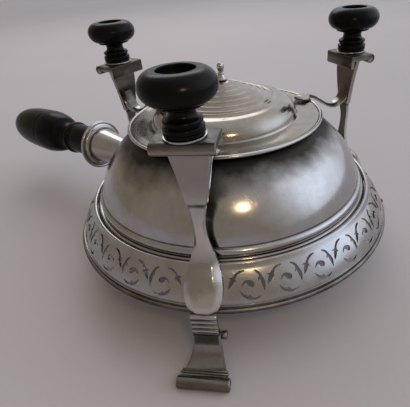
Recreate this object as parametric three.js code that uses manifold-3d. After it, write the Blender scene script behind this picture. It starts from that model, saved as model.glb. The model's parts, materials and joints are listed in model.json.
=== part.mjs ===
// Dish warmer: a raised silver bowl on three cast legs with turned wooden feet, an ash pan
// under the bowl, hinged dish supports round its mouth and a turned wooden side handle.
// It is drawn as it is stored, mouth down: it stands on its dish supports and the wooden
// feet point up. Millimetres, +Z up, the handle along -X, the table at Z = 0.
import * as THREE from 'three';
import { mergeVertices } from 'three/addons/utils/BufferGeometryUtils.js';
import Module from 'manifold-3d';

const wasm = await Module();
wasm.setup();

// Clearances
const SEAM = 0.3;              // between pieces that touch, are soldered or are riveted
const RUNNING = 0.3;           // round the hinge pins and beside their lugs

// Fineness of the round shapes
const RING_SIDES = 40;         // bowl, rim and pan
const TURNED_SIDES = 18;       // wooden feet and their discs
const HANDLE_SIDES = 24;
const SMALL_SIDES = 12;        // bolts, screws, pins and rolls

// Bowl, mouth down, with its flat bottom on top
const BOWL_RADIUS = 72;
const BOWL_WALL = 1.2;
const BOWL_MOUTH_Z = 46.4;     // lower edge of the bowl, on the moulding
const BOWL_SPRING_Z = 44;      // height where the bowl's oval is widest
const BOWL_RISE = 48.5;        // height of the full oval above that
const BOWL_BOTTOM_Z = 80.5;    // where the oval is cut flat
const SHOULDER_HEIGHT = 3.6;   // plain round band above the moulding
const SHOULDER_SWELL = 1.3;
const DRAUGHT_HOLES = 8;
const DRAUGHT_HOLE_RADIUS = 3.5;
const DRAUGHT_CIRCLE_RADIUS = 20;

// Moulding between bowl and rim, and the flared pierced rim
const MOULDING_REACH = 3.4;    // how far it stands out from the bowl
const MOULDING_HEIGHT = 3;
const RIM_RADIUS = 88;         // over the wire at its edge
const RIM_EDGE_Z = 28.2;       // height of that wire's middle
const RIM_WALL = 1.1;
const RIM_SWELL = 1.2;         // how far the flare bulges from a straight cone
const RIM_WIRE_RADIUS = 1.2;
const SCROLL_PITCH = 16;       // wanted spacing of the pierced scrolls along the rim
const SCROLL_CLEAR_OF_LEG = 10; // from the middle of a leg to half a pitch before a scroll
const SCROLL_RADIUS = 6;
const SCROLL_SLOT = 1.6;
const SCROLL_EYE_RADIUS = 1.5;

// Ash pan above the bowl, clamped by a bolt with a turned nut
const PAN_RADIUS = 51.4;
const PAN_BRIM_Z = 83;
const PAN_WALL = 0.9;
const PAN_BRIM_WIDTH = 13.4;
const PAN_BRIM_RISE = 0.8;
const PAN_SHOULDER_WIDTH = 9.5;
const PAN_SHOULDER_RISE = 8.5;
const PAN_CONE_RISE = 9.9;
const PAN_RINGS = 5;
const PAN_RING_STEP = 0.5;
const PAN_WIRE_RADIUS = 0.9;
const BOLT_RADIUS = 1.5;
const BOLT_HEAD_RADIUS = 4;
const BOLT_HEAD_HEIGHT = 2.4;
const WASHER_RADIUS = 7;
const WASHER_HEIGHT = 1;
const BOLT_GRIP = 1.6;         // length held in the nut
const SLEEVE_RADIUS = 3.2;
const NUT_HEIGHT = 8.8;
const NUT_FOOT_RADIUS = 3.1;
const NUT_BODY_RADIUS = 1.6;

// Charcoal grate
const GRATE_Z = 68;            // its lower face
const GRATE_THICKNESS = 1.5;
const GRATE_HOLE_RADIUS = 3;
const GRATE_HOLE_ROWS = [
  { radius: 15, holes: 6 },
  { radius: 31, holes: 12 },
  { radius: 47, holes: 18 },
];

// Legs: the even thirds of the circle but for the front leg, which is set a little round
const HANDLE_AZIMUTH = 180;
const LEGS = [
  { name: 'front', azimuth: -62.4 },
  { name: 'right', azimuth: 57 },
  { name: 'handle', azimuth: HANDLE_AZIMUTH },
];
const LEG_THICKNESS = 2.6;
const LEG_STANDOFF = 1.3;      // leg's back from the flare below it
const LEG_PLATE_Z = 105;       // top of the plate that carries the wooden foot
const LEG_PLATE_THICKNESS = 2.8;
const LEG_PLATE_WIDTH = 23.4;
const LEG_PLATE_REACH = 7.6;   // from the foot's axis to the plate's edges
const LEG_ROLL_RADIUS = 2.5;
const LEG_UPPER_RADIUS = 76.2; // middle of the leg's upper half, from the bowl's axis
const LEG_TOP_WIDTH = 16.8;
const LEG_KNEE_WIDTH = 8.4;
const LEG_KNEE_Z = 76.6;
const LEG_WAIST_WIDTH = 5.2;
const LEG_WAIST_Z = 65;
const LEG_SPOON_WIDTH = 16.4;
const LEG_TIP_WIDTH = 12;
const LEG_SECTIONS = 22;
const BRANCH_Z = 74.6;
const BRANCH_THICKNESS = 2.2;
const BRANCH_ROOT_WIDTH = 8;
const BRANCH_NECK_WIDTH = 6.2;
const BRANCH_LEAF_WIDTH = 10;
const BRANCH_LEAF_LENGTH = 9;  // how far the leaf reaches in over the pan's brim

// Wooden feet
const FOOT_CIRCLE_RADIUS = 78;
const FOOT_HEIGHT = 21.5;
const FOOT_RADIUS = 13.3;
const FOOT_BASE_RADIUS = 7.4;
const FOOT_NECK_RADIUS = 4.9;
const FOOT_COLLAR_RADIUS = 9;
const FOOT_RECESS_RADIUS = 7.1;
const FOOT_RECESS_DEPTH = 5;
const FOOT_DISC_THICKNESS = 0.7;
const FOOT_SCREW_RADIUS = 1.5;
const FOOT_SCREW_HEAD_RADIUS = 3.6;
const FOOT_SCREW_HEAD_HEIGHT = 1.8;
const FOOT_SCREW_GRIP = 2;     // length held in the leg's plate

// Dish supports, each on a hinge pin below the rim
const COLLAR_WIDTH = 11.4;
const COLLAR_THICKNESS = 2.8;
const COLLAR_ABOVE_WIRE = 2;   // its top above the middle of the rim's wire
const COLLAR_REEDS = 3;
const REED_DEPTH = 0.5;
const HINGE_Z = 13.2;
const HINGE_BELOW_COLLAR = 4.4;
const TONGUE_WIDTH = 5.2;
const TONGUE_RADIUS = 2.2;
const PIN_RADIUS = 1;
const PIN_HEAD_RADIUS = 2.2;
const PIN_HEAD_HEIGHT = 3;
const LUG_THICKNESS = 2.4;
const SUPPORT_THICKNESS = 2.2;
const SUPPORT_TOP_WIDTH = 12.4;
const SUPPORT_FOOT_WIDTH = 23;
const SUPPORT_ROLL_RADIUS = 3;
const SUPPORT_ROLL_REACH = 104;
const SUPPORT_SECTIONS = 9;

// Side handle
const HANDLE_Z = 43.1;
const SOCKET_END = 118.3;      // from the bowl's axis to the socket's mouth
const SOCKET_MOUTH_RADIUS = 12.9;
const SOCKET_ROOT = 84;
const SOCKET_ROOT_RADIUS = 7.2;
const SOCKET_WALL = 1;
const SOCKET_RING_RADIUS = 17.4;
const SOCKET_RING_LENGTH = 4.2;
const HANDLE_END = 222;
const GRIP_RADIUS = 16.2;
const GRIP_WAIST_RADIUS = 8.7;
const GRIP_BEAD_RADIUS = 12;
const GRIP_NECK_RADIUS = 10.9;
const GRIP_TAIL_RADIUS = 15.1;
const TENON_LENGTH = 22;
const GRIP_PIN_RADIUS = 0.9;
const GRIP_PIN_FROM_MOUTH = 11;

// Colours
const SILVER = { color: 0xb9b3a9, roughness: 0.22, metalness: 1 };
const OLD_SILVER = { color: 0x9a948a, roughness: 0.35, metalness: 1 };
const IRON = { color: 0x4a4744, roughness: 0.6, metalness: 1 };
const EBONISED = { color: 0x14100e, roughness: 0.35, metalness: 0 };

const point = (x, y) => new THREE.Vector2(x, y);

// Solids

function solidOf(geometry) {
  const plain = geometry.clone();
  plain.deleteAttribute('normal');
  plain.deleteAttribute('uv');
  const merged = mergeVertices(plain, 1e-4);
  const mesh = new wasm.Mesh({
    numProp: 3,
    vertProperties: new Float32Array(merged.attributes.position.array),
    triVerts: new Uint32Array(merged.index.array),
  });
  mesh.merge();
  return new wasm.Manifold(mesh);
}

function geometryOf(solid) {
  const mesh = solid.getMesh();
  const geometry = new THREE.BufferGeometry();
  geometry.setAttribute('position', new THREE.BufferAttribute(mesh.vertProperties, 3));
  geometry.setIndex(new THREE.BufferAttribute(mesh.triVerts, 1));
  return geometry;
}

// A turned solid about Z from a profile of (radius, height) points
function turnedGeometry(profile, sides) {
  const ordered = THREE.ShapeUtils.area(profile) > 0 ? profile : [...profile].reverse();
  const onAxis = ordered[0].x === 0 && ordered[ordered.length - 1].x === 0;
  const points = onAxis ? ordered : [...ordered, ordered[0].clone()];
  return new THREE.LatheGeometry(points, sides).rotateX(Math.PI / 2);
}

const turned = (profile, sides = TURNED_SIDES) => solidOf(turnedGeometry(profile, sides));

// A solid with one outline in the plane of radius and height, and an even width across it
function slab(outline, width) {
  const shape = new THREE.Shape(outline);
  const geometry = new THREE.ExtrudeGeometry(shape, { depth: width, bevelEnabled: false });
  return solidOf(geometry.rotateX(Math.PI / 2).translate(0, width / 2, 0));
}

// A bevelled strap along a smooth line. Each key holds the place of its middle in the plane
// of radius and height, its width and its thickness; face is the share of flat on its front.
function strap(keys, sections, face = 0.62) {
  const line = new THREE.CatmullRomCurve3(
    keys.map((key) => new THREE.Vector3(key.r, 0, key.z)), false, 'catmullrom', 0.5);
  const size = new THREE.CatmullRomCurve3(
    keys.map((key) => new THREE.Vector3(key.width, key.thickness, 0)), false, 'catmullrom', 0.5);
  const corners = [[-1, -0.5], [1, -0.5], [1, 0.1], [face, 0.5], [-face, 0.5], [-1, 0.1]];
  const rows = Math.round(sections);
  const positions = [];
  const index = [];
  for (let i = 0; i <= rows; i += 1) {
    const t = i / rows;
    const middle = line.getPoint(t);
    const along = line.getTangent(t);
    const out = new THREE.Vector3(-along.z, 0, along.x);
    const { x: width, y: thickness } = size.getPoint(t);
    for (const [side, depth] of corners) {
      const corner = middle.clone().addScaledVector(out, depth * thickness);
      positions.push(corner.x, side * width / 2, corner.z);
    }
  }
  const count = corners.length;
  for (let i = 0; i < rows; i += 1) {
    for (let j = 0; j < count; j += 1) {
      const a = i * count + j;
      const b = i * count + (j + 1) % count;
      index.push(a, b, a + count, b, b + count, a + count);
    }
  }
  const last = rows * count;
  for (let j = 1; j < count - 1; j += 1) {
    index.push(0, j + 1, j, last, last + j, last + j + 1);
  }
  const geometry = new THREE.BufferGeometry();
  geometry.setAttribute('position', new THREE.Float32BufferAttribute(positions, 3));
  geometry.setIndex(index);
  return solidOf(geometry);
}

function rod(radius, length, sides = SMALL_SIDES) {
  return solidOf(new THREE.CylinderGeometry(radius, radius, length, sides).rotateX(Math.PI / 2));
}

function arcPoints(centreX, centreY, radius, from, to, steps) {
  const points = [];
  for (let i = 0; i <= steps; i += 1) {
    const angle = THREE.MathUtils.degToRad(from + (to - from) * i / steps);
    points.push(point(centreX + radius * Math.cos(angle), centreY + radius * Math.sin(angle)));
  }
  return points;
}

// Bowl

function ovalRadius(z, wall = 0) {
  const share = (z - BOWL_SPRING_Z) / (BOWL_RISE - wall);
  return (BOWL_RADIUS - wall) * Math.sqrt(1 - share * share);
}

function ovalPoints(fromZ, toZ, wall, steps) {
  const start = Math.asin((fromZ - BOWL_SPRING_Z) / (BOWL_RISE - wall));
  const end = Math.asin((toZ - BOWL_SPRING_Z) / (BOWL_RISE - wall));
  const points = [];
  for (let i = 0; i <= steps; i += 1) {
    const angle = start + (end - start) * i / steps;
    points.push(point((BOWL_RADIUS - wall) * Math.cos(angle),
      BOWL_SPRING_Z + (BOWL_RISE - wall) * Math.sin(angle)));
  }
  return points;
}

const boltHole = BOLT_RADIUS + SEAM;

function bowl() {
  const shoulderTop = BOWL_MOUTH_Z + SHOULDER_HEIGHT;
  const swell = ovalRadius(BOWL_MOUTH_Z) + SHOULDER_SWELL;
  let solid = turned([
    point(ovalRadius(BOWL_MOUTH_Z), BOWL_MOUTH_Z),
    point(swell, BOWL_MOUTH_Z + 0.25 * SHOULDER_HEIGHT),
    point(swell, BOWL_MOUTH_Z + 0.7 * SHOULDER_HEIGHT),
    ...ovalPoints(shoulderTop, BOWL_BOTTOM_Z, 0, 8),
    point(boltHole, BOWL_BOTTOM_Z),
    point(boltHole, BOWL_BOTTOM_Z - BOWL_WALL),
    ...ovalPoints(BOWL_BOTTOM_Z - BOWL_WALL, BOWL_MOUTH_Z, BOWL_WALL, 6),
  ], RING_SIDES);
  for (let i = 0; i < DRAUGHT_HOLES; i += 1) {
    const angle = 2 * Math.PI * i / DRAUGHT_HOLES;
    const hole = new THREE.CylinderGeometry(
      DRAUGHT_HOLE_RADIUS, DRAUGHT_HOLE_RADIUS, 4 * BOWL_WALL, 10).rotateX(Math.PI / 2);
    hole.translate(DRAUGHT_CIRCLE_RADIUS * Math.cos(angle),
      DRAUGHT_CIRCLE_RADIUS * Math.sin(angle), BOWL_BOTTOM_Z);
    solid = solid.subtract(solidOf(hole));
  }
  return solid;
}

// Moulding under the bowl's mouth: two reeds, the lower one larger
const mouldingTop = BOWL_MOUTH_Z - SEAM;
const mouldingRadius = BOWL_RADIUS + MOULDING_REACH;

function moulding() {
  const reed = MOULDING_HEIGHT / 2;
  const middle = mouldingTop - reed;
  return turned([
    point(BOWL_RADIUS - BOWL_WALL, mouldingTop),
    point(mouldingRadius - 1.2, mouldingTop),
    point(mouldingRadius - 0.7, mouldingTop - reed / 2),
    point(mouldingRadius - 1.2, middle),
    point(mouldingRadius, middle - reed / 3),
    point(mouldingRadius, middle - 2 * reed / 3),
    point(mouldingRadius - 0.6, middle - reed),
    point(BOWL_RADIUS - BOWL_WALL, middle - reed),
  ], RING_SIDES);
}

// Flared rim. A share of 0 is its upper end beside the moulding and 1 its lower end above
// the wire; the offset is measured outward from the middle of its wall.
const rimWireCircle = RIM_RADIUS - RIM_WIRE_RADIUS;
const rimStart = point(mouldingRadius + SEAM + RIM_WALL / 2, mouldingTop - 1);
const toWire = point(rimWireCircle, RIM_EDGE_Z).sub(rimStart);
const rimRun = toWire.clone().setLength(toWire.length() - RIM_WIRE_RADIUS - SEAM);
const rimNormal = point(-rimRun.y, rimRun.x).normalize();

function rimSurface(share, offset = 0) {
  const bulge = RIM_SWELL * 4 * share * (1 - share);
  return rimStart.clone().addScaledVector(rimRun, share).addScaledVector(rimNormal, bulge + offset);
}

// Cutter for one pierced scroll: an eye between two facing C slots, square to the flare
function scrollCutter(azimuth) {
  const slot = (from, to) => new THREE.Shape([
    ...arcPoints(0, 0, SCROLL_RADIUS, from, to, 4),
    ...arcPoints(0, 0, SCROLL_RADIUS - SCROLL_SLOT, to, from, 3),
  ]);
  const eye = new THREE.Shape(arcPoints(0, 0, SCROLL_EYE_RADIUS, 0, 300, 5));
  const shapes = [slot(-65, 55), slot(115, 235), eye];
  const depth = 6 * RIM_WALL;
  const geometry = new THREE.ExtrudeGeometry(shapes, { depth, bevelEnabled: false });
  const middle = rimSurface(0.5);
  geometry.translate(0, 0, -depth / 2);
  const across = new THREE.Vector3(0, 1, 0);
  const out = new THREE.Vector3(rimNormal.x, 0, rimNormal.y);
  const up = new THREE.Vector3().crossVectors(out, across);
  geometry.applyMatrix4(new THREE.Matrix4().makeBasis(across, up, out));
  geometry.translate(middle.x, 0, middle.y);
  return solidOf(geometry.rotateZ(THREE.MathUtils.degToRad(azimuth)));
}

function scrollAzimuths() {
  const legs = LEGS.map((leg) => leg.azimuth).sort((a, b) => a - b);
  const circle = rimSurface(0.5).x;
  const clear = THREE.MathUtils.radToDeg(SCROLL_CLEAR_OF_LEG / circle);
  const found = [];
  legs.forEach((leg, i) => {
    const next = i + 1 < legs.length ? legs[i + 1] : legs[0] + 360;
    const start = leg + clear;
    const sweep = next - clear - start;
    const count = Math.floor(THREE.MathUtils.degToRad(sweep) * circle / SCROLL_PITCH);
    for (let j = 0; j < count; j += 1) found.push(start + sweep * (j + 0.5) / count);
  });
  return found;
}

function piercedRim() {
  const steps = 3;
  const outer = [];
  const inner = [];
  for (let i = 0; i <= steps; i += 1) {
    outer.push(rimSurface(i / steps, RIM_WALL / 2));
    inner.push(rimSurface(i / steps, -RIM_WALL / 2));
  }
  const flare = turned([...outer, ...inner.reverse()], RING_SIDES);
  const cutters = scrollAzimuths().map(scrollCutter);
  return cutters.reduce((solid, cutter) => solid.subtract(cutter), flare);
}

function wire(circle, z, radius) {
  return turned(arcPoints(circle, z, radius, 30, 330, 5), RING_SIDES);
}

// Ash pan

const panSheetRadius = PAN_RADIUS - 2 * PAN_WIRE_RADIUS - SEAM;
const shoulderRadius = PAN_RADIUS - PAN_BRIM_WIDTH;
const coneRadius = shoulderRadius - PAN_SHOULDER_WIDTH;
const brimTop = PAN_BRIM_Z + PAN_BRIM_RISE;
const coneBase = brimTop + PAN_SHOULDER_RISE;
const panTop = coneBase + PAN_CONE_RISE;

function panRings() {
  const points = [];
  const pitch = (coneRadius - NUT_FOOT_RADIUS) / PAN_RINGS;
  const rise = (PAN_CONE_RISE - PAN_RINGS * PAN_RING_STEP) / PAN_RINGS;
  for (let i = 0; i < PAN_RINGS; i += 1) {
    const z = coneBase + i * (rise + PAN_RING_STEP);
    points.push(point(coneRadius - i * pitch, z));
    points.push(point(coneRadius - i * pitch - PAN_RING_STEP, z + PAN_RING_STEP));
  }
  points.push(point(NUT_FOOT_RADIUS, panTop));
  return points;
}

function ashPan() {
  const shoulder = [];
  const lining = [];
  const steps = 4;
  for (let i = 0; i < steps; i += 1) {
    const angle = Math.PI / 2 * i / steps;
    shoulder.push(point(coneRadius + PAN_SHOULDER_WIDTH * Math.cos(angle),
      brimTop + PAN_SHOULDER_RISE * Math.sin(angle)));
    lining.push(point(coneRadius + (PAN_SHOULDER_WIDTH - PAN_WALL) * Math.cos(angle),
      brimTop - PAN_WALL + PAN_SHOULDER_RISE * Math.sin(angle)));
  }
  return turned([
    point(panSheetRadius, PAN_BRIM_Z - PAN_WALL / 2),
    point(panSheetRadius, PAN_BRIM_Z + PAN_WALL / 2),
    ...shoulder,
    ...panRings(),
    point(boltHole, panTop),
    point(boltHole, panTop - PAN_WALL),
    point(NUT_FOOT_RADIUS, panTop - PAN_WALL),
    point(coneRadius, coneBase - PAN_WALL),
    ...lining.reverse(),
  ], RING_SIDES);
}

function panNut() {
  const z = panTop + SEAM;
  return turned([
    point(0, z + BOLT_GRIP),
    point(boltHole, z + BOLT_GRIP),
    point(boltHole, z),
    point(NUT_FOOT_RADIUS, z),
    point(NUT_FOOT_RADIUS, z + 0.1 * NUT_HEIGHT),
    point(NUT_BODY_RADIUS + 0.8, z + 0.25 * NUT_HEIGHT),
    point(NUT_BODY_RADIUS, z + 0.35 * NUT_HEIGHT),
    point(NUT_BODY_RADIUS, z + 0.62 * NUT_HEIGHT),
    point(NUT_BODY_RADIUS + 0.3, z + 0.8 * NUT_HEIGHT),
    point(0.7 * NUT_BODY_RADIUS, z + 0.95 * NUT_HEIGHT),
    point(0, z + NUT_HEIGHT),
  ], SMALL_SIDES);
}

// Bolt, sleeve and washer in the middle, and the grate that the bolt holds in the bowl

const boltHeadTop = GRATE_Z - 2 * SEAM - WASHER_HEIGHT;

function panBolt() {
  const headBottom = boltHeadTop - BOLT_HEAD_HEIGHT;
  const top = panTop + BOLT_GRIP;
  return turned([
    point(0, headBottom),
    point(BOLT_HEAD_RADIUS - 0.5, headBottom),
    point(BOLT_HEAD_RADIUS, headBottom + 0.5),
    point(BOLT_HEAD_RADIUS, boltHeadTop),
    point(BOLT_RADIUS, boltHeadTop),
    point(BOLT_RADIUS, top),
    point(0, top),
  ], SMALL_SIDES);
}

function ring(inner, outer, bottom, top, sides) {
  return turned([
    point(inner, bottom), point(outer, bottom), point(outer, top), point(inner, top),
  ], sides);
}

const boltWasher = () => ring(boltHole, WASHER_RADIUS, boltHeadTop + SEAM,
  boltHeadTop + SEAM + WASHER_HEIGHT, TURNED_SIDES);

const panSleeve = () => ring(boltHole, SLEEVE_RADIUS, BOWL_BOTTOM_Z + SEAM,
  panTop - PAN_WALL - SEAM, SMALL_SIDES);

function charcoalGrate() {
  const edge = ovalRadius(GRATE_Z + GRATE_THICKNESS, BOWL_WALL) - SEAM;
  const outline = new THREE.Shape(arcPoints(0, 0, edge, 0, 360, RING_SIDES).slice(0, -1));
  outline.holes.push(new THREE.Path(arcPoints(0, 0, boltHole, 0, 360, 8).slice(0, -1)));
  for (const row of GRATE_HOLE_ROWS) {
    for (let i = 0; i < row.holes; i += 1) {
      const angle = 2 * Math.PI * i / row.holes;
      const hole = arcPoints(row.radius * Math.cos(angle), row.radius * Math.sin(angle),
        GRATE_HOLE_RADIUS, 0, 360, 6).slice(0, -1);
      outline.holes.push(new THREE.Path(hole));
    }
  }
  const geometry = new THREE.ExtrudeGeometry(outline,
    { depth: GRATE_THICKNESS, bevelEnabled: false });
  return solidOf(geometry.translate(0, 0, GRATE_Z));
}

// Legs, each drawn with the radius along X and its width along Y

const legBack = RIM_RADIUS + SEAM;
const collarBottom = HINGE_Z + HINGE_BELOW_COLLAR;
const collarTop = RIM_EDGE_Z + COLLAR_ABOVE_WIRE;
const plateBottom = LEG_PLATE_Z - LEG_PLATE_THICKNESS;

function overFlare(share) {
  return rimSurface(share, RIM_WALL / 2 + LEG_STANDOFF + LEG_THICKNESS / 2);
}

function legKeys() {
  const key = (r, z, width) => ({ r, z, width, thickness: LEG_THICKNESS });
  const atMoulding = mouldingRadius + SEAM + LEG_THICKNESS / 2;
  const overEdge = rimSurface(0, RIM_WALL + LEG_THICKNESS / 2);
  const spoon = overFlare(0.34);
  const low = overFlare(0.68);
  const tip = legBack + LEG_THICKNESS / 2;
  return [
    key(FOOT_CIRCLE_RADIUS - 0.2, plateBottom + 0.6, LEG_TOP_WIDTH),
    key(LEG_UPPER_RADIUS, (plateBottom + LEG_KNEE_Z) / 2 + 2, 0.86 * LEG_TOP_WIDTH),
    key(LEG_UPPER_RADIUS, LEG_KNEE_Z, LEG_KNEE_WIDTH),
    key(atMoulding + 0.3, LEG_WAIST_Z, LEG_WAIST_WIDTH),
    key(atMoulding, (LEG_WAIST_Z + mouldingTop) / 2 - 1, 1.45 * LEG_WAIST_WIDTH),
    key(overEdge.x, mouldingTop + 1.2, 0.82 * LEG_SPOON_WIDTH),
    key(spoon.x, spoon.y, LEG_SPOON_WIDTH),
    key(low.x, low.y, 0.94 * LEG_SPOON_WIDTH),
    key(tip, collarTop + 2.6, LEG_TIP_WIDTH),
    key(tip, collarTop - 0.9, 0.62 * LEG_TIP_WIDTH),
  ];
}

function branchKeys() {
  const key = (r, z, width, thickness = BRANCH_THICKNESS) => ({ r, z, width, thickness });
  const overWire = PAN_BRIM_Z + PAN_WIRE_RADIUS + SEAM + BRANCH_THICKNESS / 2;
  const overBrim = brimTop + SEAM + BRANCH_THICKNESS / 2;
  const wireCircle = PAN_RADIUS - PAN_WIRE_RADIUS;
  const leafTip = PAN_RADIUS - BRANCH_LEAF_LENGTH;
  const span = LEG_UPPER_RADIUS - PAN_RADIUS;
  return [
    key(leafTip, overBrim + 0.2, 0.2 * BRANCH_LEAF_WIDTH, 0.7 * BRANCH_THICKNESS),
    key(leafTip + 0.36 * BRANCH_LEAF_LENGTH, overBrim + 0.2, BRANCH_LEAF_WIDTH),
    key(wireCircle, overWire + 0.1, 0.68 * BRANCH_LEAF_WIDTH),
    key(PAN_RADIUS + 0.16 * span, overWire - 1.6, BRANCH_NECK_WIDTH + 0.4),
    key(PAN_RADIUS + 0.34 * span, (overWire + BRANCH_Z) / 2 - 0.4, BRANCH_NECK_WIDTH),
    key(PAN_RADIUS + 0.62 * span, BRANCH_Z + 1, BRANCH_NECK_WIDTH + 0.6),
    key(LEG_UPPER_RADIUS + 0.3, BRANCH_Z, BRANCH_ROOT_WIDTH),
  ];
}

function collarOutline() {
  const front = legBack + COLLAR_THICKNESS;
  const pitch = (collarTop - collarBottom) / (COLLAR_REEDS + 2);
  const outline = [point(legBack, collarTop), point(legBack, collarBottom)];
  outline.push(point(front, collarBottom));
  for (let i = 0; i < COLLAR_REEDS; i += 1) {
    const z = collarTop - (COLLAR_REEDS - i) * pitch;
    outline.push(point(front, z), point(front - REED_DEPTH, z + 0.3 * pitch),
      point(front, z + 0.6 * pitch));
  }
  outline.push(point(front, collarTop));
  return outline;
}

const hingeR = legBack - TONGUE_RADIUS + 0.2;

function tongueOutline() {
  const back = hingeR - TONGUE_RADIUS;
  const wireBottom = RIM_EDGE_Z - RIM_WIRE_RADIUS;
  return [
    ...arcPoints(hingeR, HINGE_Z, TONGUE_RADIUS, 0, -180, 8),
    point(back, collarBottom + 1),
    point(hingeR, wireBottom - 3),
    point(hingeR, wireBottom - 1.6),
    point(legBack + 1, wireBottom - 1.6),
    point(legBack + 1, collarBottom),
    point(hingeR + TONGUE_RADIUS, collarBottom),
  ];
}

function acrossRod(radius, r, z, fromY, toY, sides = SMALL_SIDES) {
  const geometry = new THREE.CylinderGeometry(radius, radius, toY - fromY, sides);
  return solidOf(geometry.rotateY(Math.PI / sides).translate(r, (fromY + toY) / 2, z));
}

function leg() {
  const rollR = FOOT_CIRCLE_RADIUS + LEG_PLATE_REACH - LEG_ROLL_RADIUS;
  const plate = slab([
    point(FOOT_CIRCLE_RADIUS - LEG_PLATE_REACH, plateBottom + 0.8),
    point(FOOT_CIRCLE_RADIUS - LEG_PLATE_REACH + 0.8, plateBottom),
    point(rollR, plateBottom),
    point(rollR, LEG_PLATE_Z),
    point(FOOT_CIRCLE_RADIUS - LEG_PLATE_REACH, LEG_PLATE_Z),
  ], LEG_PLATE_WIDTH);
  const half = LEG_PLATE_WIDTH / 2;
  const rollZ = LEG_PLATE_Z - LEG_ROLL_RADIUS * Math.cos(Math.PI / SMALL_SIDES);
  const roll = acrossRod(LEG_ROLL_RADIUS, rollR, rollZ, -half, half);
  const footHole = rod(FOOT_SCREW_RADIUS + SEAM, 2 * (FOOT_SCREW_GRIP + SEAM)).translate(
    [FOOT_CIRCLE_RADIUS, 0, LEG_PLATE_Z]);
  const pinHole = acrossRod(PIN_RADIUS + RUNNING, hingeR, HINGE_Z, -half, half);
  return strap(legKeys(), LEG_SECTIONS)
    .add(strap(branchKeys(), 12, 0.5))
    .add(plate)
    .add(roll)
    .add(slab(collarOutline(), COLLAR_WIDTH))
    .add(slab(tongueOutline(), TONGUE_WIDTH))
    .subtract(footHole)
    .subtract(pinHole);
}

// Wooden foot with its disc and screw, drawn on the plate of a leg

const discBottom = LEG_PLATE_Z + SEAM;
const footBase = discBottom + FOOT_DISC_THICKNESS + SEAM;
const screwHole = FOOT_SCREW_RADIUS + SEAM;

const footDisc = () => ring(screwHole, FOOT_BASE_RADIUS + 0.5, discBottom,
  discBottom + FOOT_DISC_THICKNESS, TURNED_SIDES);

function woodenFoot() {
  const bulbHalf = 0.275 * FOOT_HEIGHT;
  const bulbSide = 0.4 * FOOT_RADIUS;
  const bulb = arcPoints(0, 0, 1, -76, 90, 7).map((p) => point(
    FOOT_RADIUS - bulbSide * (1 - p.x), FOOT_HEIGHT - bulbHalf * (1 - p.y)));
  return turned([
    point(screwHole, 0),
    point(FOOT_BASE_RADIUS, 0),
    point(FOOT_BASE_RADIUS, 2.7),
    point(FOOT_BASE_RADIUS - 0.9, 3.2),
    point(FOOT_BASE_RADIUS - 0.3, 4.2),
    point(FOOT_BASE_RADIUS - 0.9, 5.3),
    point(FOOT_NECK_RADIUS, 6),
    point(FOOT_NECK_RADIUS, 7.6),
    point(FOOT_COLLAR_RADIUS, 8.6),
    point(FOOT_COLLAR_RADIUS, 9.3),
    ...bulb,
    point(FOOT_RECESS_RADIUS, FOOT_HEIGHT),
    point(FOOT_RECESS_RADIUS - 0.5, FOOT_HEIGHT - FOOT_RECESS_DEPTH),
    point(screwHole, FOOT_HEIGHT - FOOT_RECESS_DEPTH),
  ].map((p) => point(p.x, p.y + footBase)));
}

function footScrew() {
  const seat = footBase + FOOT_HEIGHT - FOOT_RECESS_DEPTH + SEAM;
  const end = LEG_PLATE_Z - FOOT_SCREW_GRIP;
  return turned([
    point(0, end),
    point(FOOT_SCREW_RADIUS, end),
    point(FOOT_SCREW_RADIUS, seat),
    point(FOOT_SCREW_HEAD_RADIUS, seat),
    point(FOOT_SCREW_HEAD_RADIUS, seat + 0.6 * FOOT_SCREW_HEAD_HEIGHT),
    point(0.6 * FOOT_SCREW_HEAD_RADIUS, seat + FOOT_SCREW_HEAD_HEIGHT),
    point(0, seat + FOOT_SCREW_HEAD_HEIGHT),
  ], SMALL_SIDES);
}

// Dish support and its hinge pin, drawn on the lower end of a leg

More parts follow.
